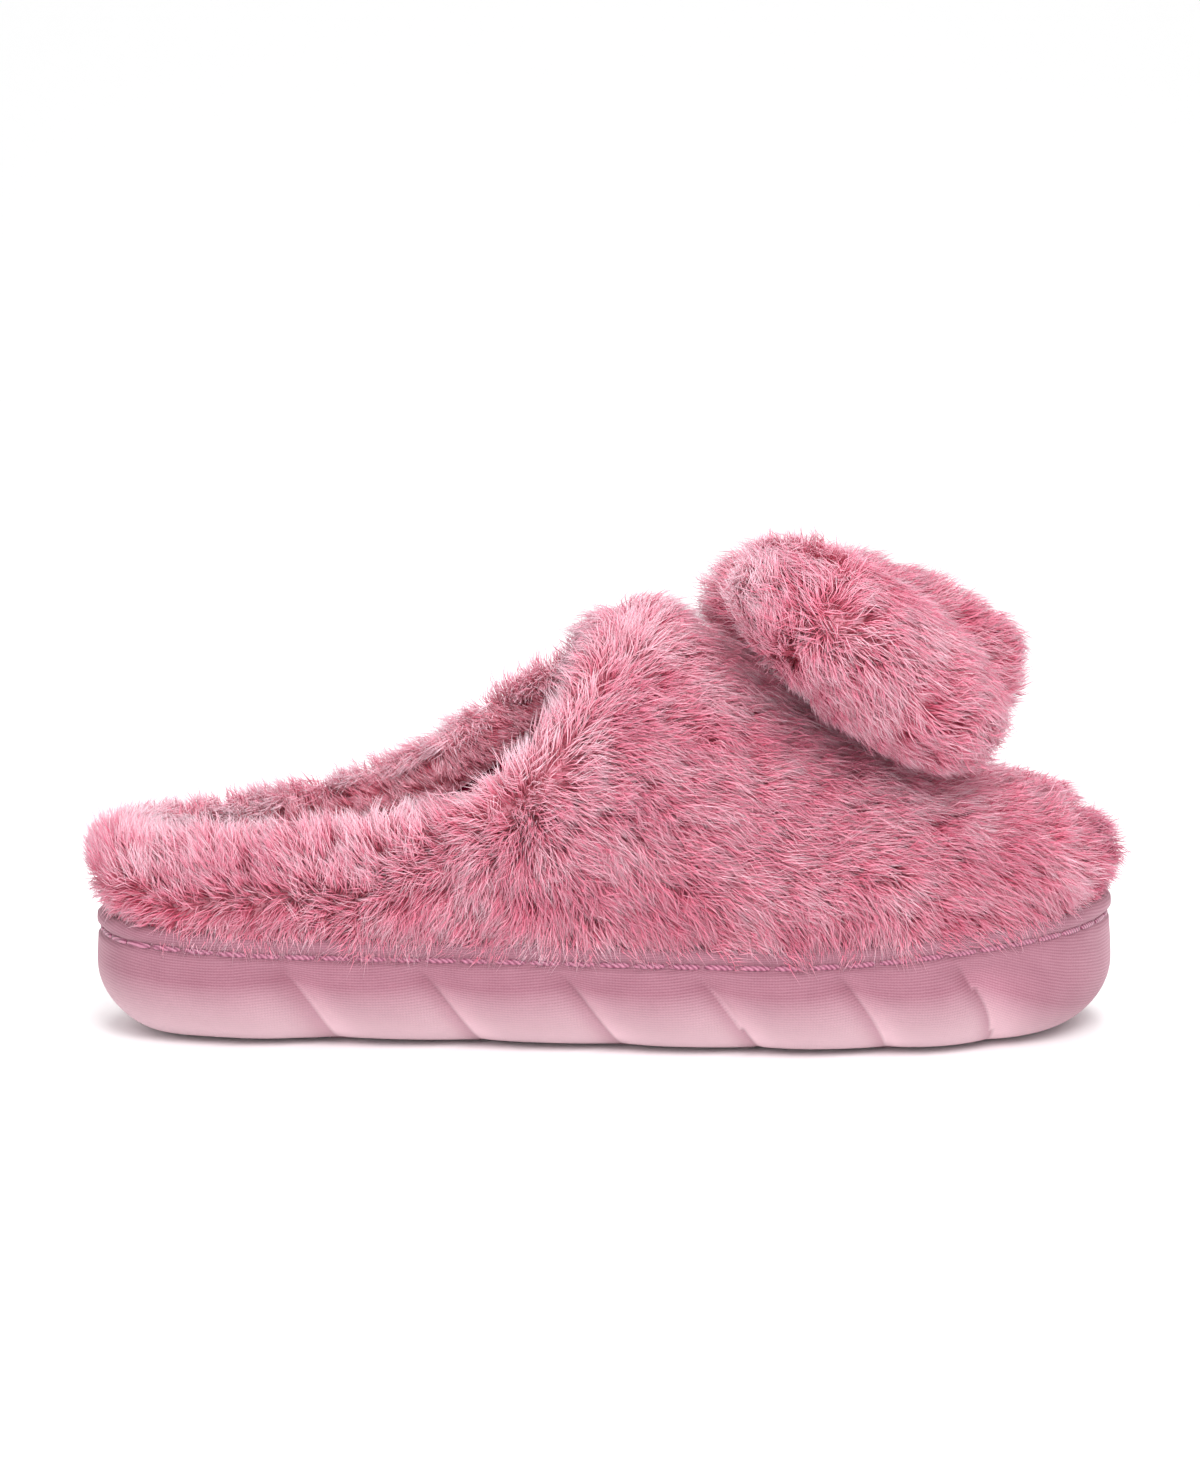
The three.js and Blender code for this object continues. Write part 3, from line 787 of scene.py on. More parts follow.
@dataclass(frozen=True)
class Knit(Finish):
    """Fine ribbed knit, drawn on the piece's own map: u along the edge and v up the side, in metres."""

    name: str = "mauve_knit"
    valley: Colour = srgb(144, 88, 106)
    ridge: Colour = srgb(184, 130, 146)
    # The pale colour and the three sizes below paint light bounced up from the white floor onto the low part
    # of the side.
    bounce_lit: Colour = srgb(244, 212, 220)
    rib_pitch: float = 0.9
    stitch_pitch: float = 0.75
    bounce_start: float = 31.0
    bounce_most: float = 20.0
    bounce_per_metre: float = 44.0

    def build(self) -> bpy.types.Material:
        """Ribs along u, each a row of small slanting stitches, fuzzy in patches, paled low down by painted
        light from the floor, and with painted shade and highlight over the grooves.

        Returns:
            The material.
        """
        n = Nodes(self.name)
        weave = n.map("Weave")
        u, v = n.parts(weave)
        drift = n.math("MULTIPLY", n.noise(weave, 60, 2), 0.0011)
        lean = n.math("MULTIPLY", n.math("PINGPONG", v, self.rib_pitch * MM / 2), 0.7)
        rib, row = (
            n.math("SINE", n.math("MULTIPLY", n.math("ADD", place, shift), 2 * math.pi / (pitch * MM)))
            for place, shift, pitch in ((v, drift, self.rib_pitch), (u, lean, self.stitch_pitch))
        )
        fuzz = n.noise(weave, 1800, 3)
        height = n.math(
            "ADD",
            n.math("MULTIPLY_ADD", rib, 0.17, 0.35),
            n.math("ADD", n.math("MULTIPLY", row, 0.06), n.math("MULTIPLY", fuzz, 0.4)),
        )
        worn = n.math("MULTIPLY_ADD", n.noise(weave, 110, 4), 0.3, -0.15)
        # The ramp follows the knit's height, so the rib valleys carry painted shade; the worn patches are
        # random tone.
        woven = n.ramp(n.math("ADD", height, worn), (0.2, self.valley), (0.85, self.ridge))
        # Painted light: the cloth is paled towards the bottom, standing in for light bounced up from the
        # white floor.
        under = n.math("MAXIMUM", n.math("SUBTRACT", self.bounce_start * MM, v), 0.0)
        low = n.math("SMOOTH_MIN", under, self.bounce_most * MM, 0.006)
        bounce_lit = n.mix("MIX", n.math("MULTIPLY", low, self.bounce_per_metre), woven, self.bounce_lit)
        # Painted shade and highlight: darker on the heel side of each groove, paler on its toe side.
        _, fold = n.parts(n.map("Fold"))
        shade = n.ramp(fold, (0.0, srgb(206, 190, 196)), (0.5, srgb(232, 232, 232)), (1.0, WHITE))
        n.paint(n.mix("MULTIPLY", 1.0, bounce_lit, shade))
        n.bump(height, 0.16)
        n.set(Roughness=0.82, Specular_IOR_Level=0.25, Sheen_Weight=0.35, Sheen_Roughness=0.45)
        n.set(Sheen_Tint=srgb(255, 224, 232))
        return n.made


@dataclass(frozen=True)
class Thread(Finish):
    """Twisted sewing thread."""

    name: str = "pink_thread"
    dark: Colour = srgb(134, 62, 92)
    light: Colour = srgb(198, 128, 154)

    def build(self) -> bpy.types.Material:
        """Fine strands that catch the light.

        Returns:
            The material.
        """
        n = Nodes(self.name)
        place = n.place()
        twist = n.add("ShaderNodeTexWave", wave_type="BANDS", bands_direction="DIAGONAL")
        twist.inputs["Scale"].default_value = 420
        twist.inputs["Distortion"].default_value = 1.5
        n.link(place, twist.inputs["Vector"])
        value = n.halves(n.noise(place, 700, 2), twist.outputs["Fac"])
        n.paint(n.ramp(value, (0.25, self.dark), (0.7, self.light)))
        n.bump(twist.outputs["Fac"], 0.25)
        n.set(Roughness=0.42, Specular_IOR_Level=0.5, Sheen_Weight=0.2)
        return n.made


@dataclass(frozen=True)
class Grained(Finish):
    """A plain moulded or pressed material with a fine grain."""

    name: str
    dark: Colour
    light: Colour
    grain: float = 600.0
    depth: float = 0.1
    roughness: float = 0.8

    def build(self) -> bpy.types.Material:
        """Grain in colour, height and roughness.

        Returns:
            The material.
        """
        n = Nodes(self.name)
        grain = n.noise(None, self.grain, 4)
        value = n.halves(n.noise(None, self.grain / 12, 2), grain)
        n.paint(n.ramp(value, (0.3, self.dark), (0.7, self.light)))
        n.link(n.math("MULTIPLY_ADD", grain, 0.2, self.roughness - 0.1), n.shader.inputs["Roughness"])
        n.bump(grain, self.depth)
        return n.made


KNIT = Knit()
THREAD = Thread()
FLEECE = Fleece()
BACKING = Backing()
PLUSH = Plush("rose_plush")
FACING_PLUSH = Plush(
    "facing_plush", srgb(255, 120, 148), srgb(255, 154, 178), srgb(255, 206, 218), srgb(255, 214, 224)
)
# Partly painted shade: the footbed's pile takes the deep raspberry of the slipper's shaded inside.
RASPBERRY_PLUSH = Plush(
    "raspberry_plush", srgb(160, 16, 60), srgb(196, 36, 86), srgb(226, 92, 132), srgb(226, 92, 132)
)
SOLE_FOAM = Grained("sole_foam", srgb(222, 214, 208), srgb(240, 235, 230), 900, 0.15, 0.85)
RUBBER = Grained("rose_rubber", srgb(168, 116, 132), srgb(192, 142, 156), 500, 0.08, 0.62)
PAD_FOAM = Grained("pad_foam", srgb(232, 224, 210), srgb(246, 240, 230), 1400, 0.3, 0.9)
FILLING = Grained("fibre_filling", srgb(232, 230, 226), srgb(250, 249, 247), 700, 0.6, 0.95)
BOARD = Grained("fibre_board", srgb(170, 162, 150), srgb(200, 194, 184), 800, 0.1, 0.85)
FELT = Grained("rose_felt", srgb(180, 112, 134), srgb(206, 142, 160), 1600, 0.3, 0.95)


# ---- Pile ---------------------------------------------------------------------------------------


@dataclass(frozen=True)
class Pile:
    """How a plush's hairs stand. Lengths are in millimetres and angles in degrees from upright."""

    length: float = 11.0
    width: float = 0.27
    lean: float = 58.0
    tuft: float = 2.5
    hairs: int = 12
    gather: float = 0.2
    arc: float = 0.19
    curl: float = 0.1
    stray: float = 0.1
    per_cm2: float = 215.0


@dataclass(frozen=True)
class Combing:
    """Which way a plush lies at each root.

    Attributes:
        flow: Directions in which the hairs lie, one row each.
        length: Shares of the pile's length.
        lean: Shares of the pile's lean.
        tone: How much paler the tuft is, below 0 for greyer.
        keep: True where a tuft grows.
    """

    flow: Array
    length: Array
    lean: Array
    tone: Array
    keep: Array


Comb = Callable[[Array, Array, Array], Combing]
PIECE_HAIRS = 19800


class HairShape:
    """One hair: a three-sided spike with a bend halfway, made once and copied for every root."""

    def __init__(self) -> None:
        """Shapes the spike and keeps its corners and faces."""
        bm = bmesh.new()
        bmesh.ops.create_circle(bm, segments=3, radius=1.0, cap_ends=True)
        top = list(bm.faces)
        for _ in range(2):
            made = bmesh.ops.extrude_face_region(bm, geom=top)
            corners = [g for g in made["geom"] if isinstance(g, bmesh.types.BMVert)]
            old = top
            top = [g for g in made["geom"] if isinstance(g, bmesh.types.BMFace)]
            bmesh.ops.translate(bm, vec=(0, 0, 0.5), verts=corners)
            if old[0].is_valid and old[0].calc_center_median().z > 0.1:
                bmesh.ops.delete(bm, geom=old, context="FACES_ONLY")
        bmesh.ops.pointmerge(bm, verts=corners, merge_co=(0, 0, 1))
        bmesh.ops.recalc_face_normals(bm, faces=bm.faces)
        bm.verts.index_update()
        self.corners = np.array([v.co for v in bm.verts])
        self.faces = [[v.index for v in face.verts] for face in bm.faces]
        bm.free()


HAIR = HairShape()


def roots_on(piece: bpy.types.Object, count: int, rng: np.random.Generator) -> tuple[Array, Array, Array]:
    """Random points spread evenly over a piece.

    Args:
        piece: The cloth.
        count: How many points.
        rng: The random numbers.

    Returns:
        Points and normals in the shoe's axes, and the direction up the surface where the mesh has one.
    """
    shown = piece.evaluated_get(bpy.context.evaluated_depsgraph_get())
    mesh = shown.to_mesh()
    mesh.calc_loop_triangles()

    def table_of(items: bpy.types.bpy_prop_collection, key: str, kind: type = np.float32) -> Array:
        """What a collection holds under a key.

        Args:
            items: The collection.
            key: Which values.
            kind: Their kind.

        Returns:
            The values in rows of 3.
        """
        held = np.empty(len(items) * 3, kind)
        items.foreach_get(key, held)
        return held.reshape(-1, 3)

    corner = table_of(mesh.loop_triangles, "vertices", np.int32)
    co, normal = (table_of(mesh.vertices, key).astype(float) for key in ("co", "normal"))
    rise = np.tile((0.0, 0.0, 1.0), (len(co), 1))
    if "rise" in mesh.attributes:
        rise = table_of(mesh.attributes["rise"].data, "vector").astype(float)
    shown.to_mesh_clear()
    a, b, c = (co[corner[:, k]] for k in range(3))
    area = np.linalg.norm(np.cross(b - a, c - a), axis=1)
    chosen = corner[rng.choice(len(corner), count, p=area / area.sum())]
    share = rng.random((count, 2))
    over = share.sum(1) > 1
    share[over] = 1 - share[over]
    weight = np.column_stack([1 - share.sum(1), share])[:, :, None]
    place, out, up = ((table[chosen] * weight).sum(1) for table in (co, normal, rise))
    return to_shoe(place), unit(out), unit(up)


def area_of(piece: bpy.types.Object) -> float:
    """A piece's area in square centimetres."""
    return sum(face.area for face in piece.data.polygons) * 1e4


def grow(
    name: str,
    cloth: bpy.types.Object,
    pile: Pile,
    comb: Comb,
    finish: Finish,
    seed: int,
    slot: str,
    *nodes: str,
) -> None:
    """Grows a plush on a cloth, in tufts whose hairs lean together.

    Args:
        name: The name of the plush's pieces, which are numbered.
        cloth: What it grows from.
        pile: How the hairs stand.
        comb: Which way they lie.
        finish: Their finish.
        seed: The start of the random numbers.
        slot: The record's material slot.
        nodes: The frame's nodes that the pieces stand for.
    """
    rng = np.random.default_rng(seed)
    share = 1.0
    tufts = int(area_of(cloth) * pile.per_cm2 / pile.hairs * share)
    place, out, up = roots_on(cloth, tufts, rng)
    combing = comb(place, out, up)
    kept = combing.keep
    place, out = place[kept], out[kept]
    flow = combing.flow[kept]
    flow = unit(flow - (flow * out).sum(1, keepdims=True) * out)
    side = np.cross(out, flow)
    length = pile.length * combing.length[kept]
    lean = np.radians(pile.lean) * combing.lean[kept]
    tufts, hairs = len(place), pile.hairs
    swirl = rng.normal(0, 0.16, tufts) + 0.5 * waves(place, 16, seed) + 0.3 * waves(place, 6, seed + 1)
    lie = np.cos(swirl)[:, None] * flow + np.sin(swirl)[:, None] * side
    lean = np.clip(lean + 0.16 * waves(place, 8, seed + 2) + rng.normal(0, 0.06, tufts), 0, 1.35)
    length = length * (1 + 0.12 * waves(place, 7, seed + 3) + rng.normal(0, 0.05, tufts))
    reach = (np.cos(lean)[:, None] * out + np.sin(lean)[:, None] * lie) * length[:, None]

    def each(values: Array) -> Array:
        """A value of each tuft, for all its hairs."""
        return values[:, None]

    angle = rng.random((tufts, hairs)) * 2 * math.pi
    radius = np.sqrt(rng.random((tufts, hairs))) * pile.tuft
    spread = np.cos(angle)[..., None] * each(flow) + np.sin(angle)[..., None] * each(side)
    root = each(place) + spread * radius[..., None] - each(out) * 0.4
    jitter = rng.normal(0, pile.stray, (tufts, hairs, 3)) * each(length)[..., None]
    own = rng.uniform(0.72, 1.1, (tufts, hairs, 1))
    tip = root + each(reach) * own + jitter
    together = each(place) + each(reach) * own + jitter * 0.5
    tip = tip + (together - tip) * (pile.gather * rng.uniform(0.4, 1.5, (tufts, 1, 1)))
    curl = rng.normal(0, pile.curl, (tufts, 1)) + rng.normal(0, pile.curl / 2, (tufts, hairs))
    swept = each(np.cross(out, lie)) * (curl * each(length))[..., None]
    bend = each(out) * (pile.arc * each(length))[..., None] + swept + jitter * 0.25
    middle = root * 0.52 + tip * 0.48 + bend
    tone = 0.5 + combing.tone[kept] + 0.2 * waves(place, 11, seed + 4) + rng.normal(0, 0.06, tufts)
    tone = np.clip(each(tone) + rng.normal(0, 0.13, (tufts, hairs)), 0.01, 0.985)
    width = pile.width / 2 * rng.uniform(0.75, 1.25, (tufts, hairs)) * 1.0
    tables = [v.reshape(-1, *v.shape[2:]) for v in (root, middle, tip, tone, width)]
    for k, start in enumerate(range(0, tufts * hairs, PIECE_HAIRS)):
        part = (table[start : start + PIECE_HAIRS] for table in tables)
        put(f"{name}_{k + 1}", hair_mesh(f"{name}_{k + 1}", *part, rng), finish, slot, *nodes)


def ruffle(place: Array, seed: int) -> Array:
    """Small turns of the plush, which show where it has no clear direction of its own."""
    return 0.17 * np.column_stack([waves(place, 3.2, seed + k) for k in range(3)])


def hair_mesh(
    name: str, root: Array, middle: Array, tip: Array, tone: Array, width: Array, rng: np.random.Generator
) -> bpy.types.Mesh:
    """Copies the hair's shape along every root, middle and tip.

    Args:
        name: The mesh's name.
        root: Where each hair starts, in the shoe's axes.
        middle: Its bend.
        tip: Its end.
        tone: Its shade, 0 to 1.
        width: Its half width at the root, in millimetres.
        rng: The random numbers.

    Returns:
        The mesh, in the frame's axes, with the map that the plush's finish reads.
    """
    count = len(root)
    along = unit(tip - root)
    aside = unit(np.cross(along, rng.normal(size=(count, 3))))
    across = np.cross(along, aside)
    corners = HAIR.corners
    level = corners[:, 2]
    low, bent = (level[None, :, None] < limit for limit in (0.25, 0.75))
    axis = np.where(low, root[:, None], np.where(bent, middle[:, None], tip[:, None]))
    girth = width[:, None, None] * np.interp(level, (0, 0.5, 1), (1.0, 0.85, 0.0))[None, :, None]
    points = axis + girth * (corners[None, :, :1] * aside[:, None] + corners[None, :, 1:2] * across[:, None])
    mesh = bpy.data.meshes.new(name)
    sizes = np.array([len(face) for face in HAIR.faces])
    loops = np.concatenate(HAIR.faces)
    mesh.vertices.add(count * len(corners))
    mesh.vertices.foreach_set("co", to_frame(points).astype(np.float32).ravel())
    steps = np.arange(count)[:, None]
    mesh.loops.add(count * len(loops))
    mesh.loops.foreach_set("vertex_index", (loops + steps * len(corners)).astype(np.int32).ravel())
    mesh.polygons.add(count * len(sizes))
    starts = np.concatenate([[0], np.cumsum(sizes)[:-1]])
    mesh.polygons.foreach_set("loop_start", (starts + steps * len(loops)).astype(np.int32).ravel())
    mesh.update(calc_edges=True)
    mesh.shade_smooth()
    sideways = np.where(corners[:, 2] > 0.9, 0.5, (corners[:, 0] + 1) / 2) * 0.005
    upward = np.broadcast_to(0.03 + 0.94 * level[loops], (count, len(loops)))
    uv = np.stack([tone[:, None] + sideways[loops], upward], 2)
    layer = mesh.uv_layers.new(name="OFBake")
    layer.data.foreach_set("uv", uv.astype(np.float32).ravel())
    return mesh


# ---- The sole -----------------------------------------------------------------------------------


@dataclass
class Sole:
    """The cup sole: its knit cover, its lip stitching, and the frame's own pieces inside and under it."""

    columns: int = 520
    round_width: float = 16.0
    round_height: float = 18.0
    lowest: float = 0.8
    tuck: float = 19.4
    tuck_height: float = 0.35
    cloth: float = 1.3
    cup_wall: float = 5.8
    cup_floor: float = 16.0
    flute_starts: tuple[float, ...] = (44.0, 79.0, 114.5, 150.0, 185.0, 214.5)
    flute_slant: float = 0.72
    flute_bow: float = 1.6
    flute_depth: float = 3.3
    channel_drop: float = 5.0
    channel_half: float = 1.0
    channel_depth: float = 1.0
    lip_bulge: float = 0.5
    stitch_length: float = 8.2
    stitch_gap: float = 0.7
    stitch_half_width: float = 0.8
    stitch_half_thickness: float = 0.55

    def bow(self, below: Array) -> Array:
        """How far a groove bows forwards, this far below the lip."""
        return self.flute_bow * np.sin(np.pi * np.clip(below / 28, 0, 1))

    def lobes(self, x: Array, below: Array) -> tuple[Array, Array]:
        """Where points lie on their lobes.

        Args:
            x: Places along the shoe.
            below: How far they lie below the lip.

        Returns:
            Shares of the way from one groove to the next, and how strong the grooves are there.
        """
        along = x - self.flute_slant * below - self.bow(below)
        first, last = self.flute_starts[0] - 60, self.flute_starts[-1] + 60
        marks = (first, *self.flute_starts, last)
        share = np.interp(along, marks, np.arange(len(marks))) % 1
        fade = smoothstep(below, self.channel_drop + 0.5, self.channel_drop + 9)
        fade = fade * smoothstep(along, first + 34, first + 50)
        return share, fade * (1 - smoothstep(along, last - 50, last - 34))

    def flute(self, x: Array, below: Array) -> Array:
        """How deep the flutes cut at x, this far below the lip."""
        share, fade = self.lobes(x, below)
        return self.flute_depth * fade * (1 - np.sin(np.pi * share**0.85) ** 0.62)

    def fold(self, x: Array, below: Array) -> Array:
        """Painted shade and highlight over a groove: from -1, painted shade where the cloth turns away from
        the light, to 1, painted highlight where it turns towards it.
        """
        share, fade = self.lobes(x, below)
        return fade * (np.exp(-((share / 0.16) ** 2)) - np.exp(-(((1 - share) / 0.12) ** 2)))

    def side(self, x: Array, z: Array) -> Array:
        """How far the side lies inside the sole's edge.

        Args:
            x: Places along the shoe.
            z: Their heights.

        Returns:
            One depth for each place.
        """
        low = np.clip((self.round_height - z) / (self.round_height - self.lowest), 0, 1)
        belly = 0.6 * np.sin(np.pi * np.clip((z - 6) / 22, 0, 1))
        return self.round_width * (1 - np.sqrt(1 - low**2)) + self.flute(x, SHOE.rim(x) - z) + 0.5 - belly

    def rows(self) -> list[Callable[[Array], tuple[Array, Array]]]:
        """The cover's rows from under the foot to inside the lip.

        Returns:
            Functions of x that give each row's depth inside the sole's edge and its height.
        """
        turned = [lambda x: (np.full_like(x, self.tuck), np.full_like(x, self.tuck_height))]
        arc = self.round_height - self.lowest
        levels = [self.lowest + arc * (1 - math.cos(math.radians(a))) for a in np.linspace(4, 88, 17)]
        curved = [lambda x, z=z: (self.side(x, np.full_like(x, z)), np.full_like(x, z)) for z in levels]
        top = self.channel_drop + self.channel_half + 0.6
        shares = np.linspace(0, 1, 8)[1:]
        start = levels[-1]

        def upper(x: Array, share: float) -> tuple[Array, Array]:
            """Depth and height on the upright side, this share of the way to the channel."""
            z = start + (SHOE.rim(x) - top - start) * share
            return self.side(x, z), z

        straight = [lambda x, s=s: upper(x, s) for s in shares]
        channel = [
            (self.channel_drop + self.channel_half + 0.2, 0.45),
            (self.channel_drop + self.channel_half * 0.6, self.channel_depth),
            (self.channel_drop - self.channel_half * 0.6, self.channel_depth),
            (self.channel_drop - self.channel_half - 0.2, 0.3),
            (self.channel_drop - self.channel_half - 1.0, 0.05 - self.lip_bulge),
            (2.4, -self.lip_bulge),
            (1.2, 0.1 - self.lip_bulge),
            (0.3, 0.8),
            (0.0, 1.8),
            (0.6, 3.2),
        ]
        lip = [lambda x, b=b, d=d: (np.full_like(x, d + 0.5), SHOE.rim(x) - b) for b, d in channel]
        return [*turned, *curved, *straight, *lip]

    def cover(self) -> None:
        """The knit cover."""
        straight, _, run = SHOE.ring(self.columns, 0.0)
        ahead = unit(np.roll(straight, -1, 0) - np.roll(straight, 1, 0))[:, 0]
        table, weave, groove_shades, climbed = [], [], [], np.zeros(self.columns)
        for row in self.rows():
            below = SHOE.rim(straight[:, 0]) - row(straight[:, 0])[1]
            places = run + ahead * (self.flute_slant * below + self.bow(below))
            plan, out = SHOE.along(places)
            x = plan[:, 0]
            depth, z = row(x)
            points = np.column_stack([plan - out * depth[:, None], z])
            if table:
                climbed = climbed + np.linalg.norm(points - table[-1], axis=1)
            table.append(points)
            tilt = 0.35 * np.maximum(x - 0.86 * SHOE.length, 0)
            weave.append(np.stack([places * MM, (climbed + tilt) * MM], 1))
            # Painted shade and highlight over the grooves, kept as a map that the knit reads.
            groove_shades.append(np.stack([places * MM, 0.5 + 0.5 * self.fold(x, SHOE.rim(x) - z)], 1))
        maps = {"Weave": np.array(weave), "Fold": np.array(groove_shades)}
        piece = put_sheet("sole_cover", table, KNIT, "sole_knit", "sole_wrap", maps=maps)
        thicken(piece, self.cloth)

    def foam(self) -> None:
        """The foam cup inside the cover."""
        plan, out, _ = SHOE.ring(self.columns // 2, 0.0)
        x = plan[:, 0]
        inset = self.cloth + 0.6
        even = np.ones(len(plan))
        low = self.tuck_height + 3
        centre = np.column_stack([np.tile(plan.mean(0), (len(plan), 1)), low * even])
        steps = ((self.tuck + 1, low), (self.tuck, self.lowest + 0.6))
        rows = [centre] + [np.column_stack([plan - out * d, z * even]) for d, z in steps]
        for row in self.rows()[1:25]:
            depth, z = row(x)
            rows.append(np.column_stack([plan - out * (depth + inset)[:, None], z + 0.3]))
        for depth, below in ((self.cup_wall - 2.5, 2.0), (self.cup_wall, 2.4)):
            rows.append(np.column_stack([plan - out * depth, SHOE.rim(x) - below]))
        floor = np.column_stack([plan - out * self.cup_wall, self.cup_floor * even])
        rows += [floor, centre + (0, 0, self.cup_floor - self.tuck_height - 3)]
        put_sheet("sole_foam", rows, SOLE_FOAM, "sole_foam", "midsole_foam")

    def stitches(self) -> None:
        """The coarse stitches that lie in the lip's channel, end to end."""
        count = round(SHOE.run[-1] / (self.stitch_length + self.stitch_gap))
        plan, out, _ = SHOE.ring(count * 2, self.channel_depth + 0.35)
        height = SHOE.rim(plan[:, 0]) - self.channel_drop
        points = np.column_stack([plan, height])
        bm = bmesh.new()
        for i in range(count):
            a, middle, b = (points[(2 * i + k) % len(points)] for k in (0, 1, 2))
            across = np.append(out[(2 * i + 1) % len(points)], 0)
            along = unit(b - a)
            made = bmesh.ops.create_uvsphere(bm, u_segments=8, v_segments=9, radius=1.0)["verts"]
            turn = Matrix(np.column_stack([along, np.cross(across, along), across]).tolist()).to_4x4()
            half = self.stitch_length / 2
            for vertex in made:
                ends = vertex.co.z
                body = (1 - abs(ends) ** 5) ** 0.5
                round_share = math.sqrt(max(1e-9, 1 - ends**2))
                vertex.co.x, vertex.co.y, vertex.co.z = (
                    ends * half,
                    vertex.co.y / round_share * body * self.stitch_half_width,
                    vertex.co.x / round_share * body * self.stitch_half_thickness - 0.25 * ends**4,
                )
            bmesh.ops.transform(bm, matrix=Matrix.Translation(middle) @ turn, verts=made)
        bmesh.ops.transform(bm, matrix=TO_FRAME, verts=bm.verts)
        bmesh.ops.remove_doubles(bm, verts=bm.verts, dist=1e-6)
        bmesh.ops.recalc_face_normals(bm, faces=bm.faces)
        put("lip_stitches", smooth_mesh("lip_stitches", bm), THREAD, "thread", "lip_stitching")

    def build(self) -> None:
        """Makes the cover and the stitches and dresses the rest of the sole."""
        self.cover()
        self.foam()
        self.stitches()
        for node, finish in (
            ("outsole_tread", RUBBER),
            ("insole_board", BOARD),
            ("strobel_thread", THREAD),
            ("footbed_foam", PAD_FOAM),
        ):
            dress(node, finish)


# ---- The upper ----------------------------------------------------------------------------------


@dataclass
class Upper:
    """Vamp and collar: the cloth, the plush on it, its facing, the foam, the lining and the footbed."""

    skin: float = 6.5
    edge_drop: float = 10.5
    roll: float = 4.4
    turned_in: float = 16.0
    foam: float = 10.2
    foam_thickness: float = 2.4
    lining: float = 13.6
    lining_thickness: float = 1.6
    levels: int = 22
    roll_steps: int = 8
    arc_points: int = 30
    seam: float = 114.0
    valley: float = 4.5
    bed_depth: float = 11.6
    bed_height: float = 30.2
    pile: Pile = Pile(per_cm2=370)
    facing_pile: Pile = Pile(length=7.5, lean=64, tuft=2.0, gather=0.1, curl=0.05, per_cm2=360)
    facing_depth: float = 24.0
    facing_end: float = 138.0
    bed_pile: Pile = Pile(length=4.5, width=0.42, lean=44, tuft=1.8, hairs=10, per_cm2=50)

    def side_places(self) -> Array:
        """x values along each side, closer together where the topline sweeps up to the mouth.

        Returns:
            The values, rising.
        """
        low, high = SHOE.heel_centre, SHOE.toe_centre
        steep = np.linspace(0.385 * SHOE.length, 0.545 * SHOE.length, 26)
        behind, ahead = np.arange(low, steep[0] - 2, 3.8), np.arange(steep[-1] + 2, high - 2, 3.8)
        return np.concatenate([behind, steep, ahead, [high]])

    def wall(self, depth: float, drop: float, skirt: float) -> tuple[Array, Array, Array]:
        """A layer of the upper, from a little below the lip up to its edge.

        Args:
            depth: How far it lies inside the plush's outer surface.
            drop: How far its edge lies inside the topline.
            skirt: How far it goes down inside the lip.

        Returns:
            Its rows, the ridge below each column, and the angle at which each column ends.
        """
        feet, ridge = SHOE.stations(depth - SHOE.overhang, self.arc_points, self.side_places())
        end = SHOE.arch_end(feet, ridge, depth, drop)
        rows = [SHOE.arch(feet, ridge, depth, end * share) for share in np.linspace(0, 1, self.levels)]
        low = rows[0] - (0, 0, skirt)
        return np.array([low, *rows]), ridge, end

    def toe_valley(self, rows: Array) -> Array:
        """Presses the shallow valley behind the toe cap into the plush's cloth.

        Args:
            rows: The cloth's points.

        Returns:
            The moved points.
        """
        x, z = rows[..., 0], rows[..., 2]
        line = 0.945 * SHOE.length + 0.2 * (62 - z) + 0.06 * rows[..., 1]
        middle = np.array([SHOE.toe_centre - 30, 0, 40.0])
        inward = unit(middle - rows)
        depth = self.valley * np.exp(-(((x - line) / 2.6) ** 2)) * smoothstep(z, 36, 48)
        return rows + inward * depth[..., None]

    def cloth(self) -> tuple[bpy.types.Object, bpy.types.Object]:
        """The plush's cloth.

        Returns:
            The cloth up the outside and over the edge, and the facing that it turns into.
        """
        rows, ridge, end = self.wall(self.skin, self.edge_drop, 6.0)
        edge, before = rows[-1], rows[-2]
        along = unit(np.roll(edge, -1, 0) - np.roll(edge, 1, 0))
        climb = unit(edge - before)
        out = np.cross(climb, along)
        outwards = edge - np.column_stack([ridge, edge[:, 2] - 40])
        out = unit(np.where((out * outwards).sum(1, keepdims=True) < 0, -out, out))
        away = np.cross(along, out)
        away = unit(np.where((away * climb).sum(1, keepdims=True) < 0, -away, away))
        size = np.where(end < math.pi / 2 - 1e-6, self.roll, 0.0)[:, None]
        angles = np.linspace(0, math.pi, self.roll_steps + 1)[1:]
        turned = [edge + away * size * math.sin(a) - out * size * (1 - math.cos(a)) for a in angles]
        turning = [away * math.cos(a) - out * math.sin(a) for a in angles]
        top = self.roll_steps // 2 + 1
        outer = self.toe_valley(np.array([*rows, *turned[:top]]))
        rise = np.array([*unit(np.gradient(rows, axis=0)), *turning[:top]])
        reach = np.where(size > 0, self.turned_in, 0.0) * (1 - 0.7 * smoothstep(edge[:, :1], 50, 95))
        inner = [*turned[top - 1 :], *(turned[-1] - away * reach * d for d in np.linspace(0, 1, 6)[1:])]
        inner_rise = [*turning[top - 1 :], *([-away] * 5)]
        both = ("vamp_plush", "collar_plush")
        skin = put_sheet("upper_cloth", outer, BACKING, "upper_plush", *both, rise=rise)
        rise = np.array(inner_rise)
        facing = put_sheet("collar_facing", inner, BACKING, "upper_plush", both[1], rise=rise, inwards=True)
        return skin, facing

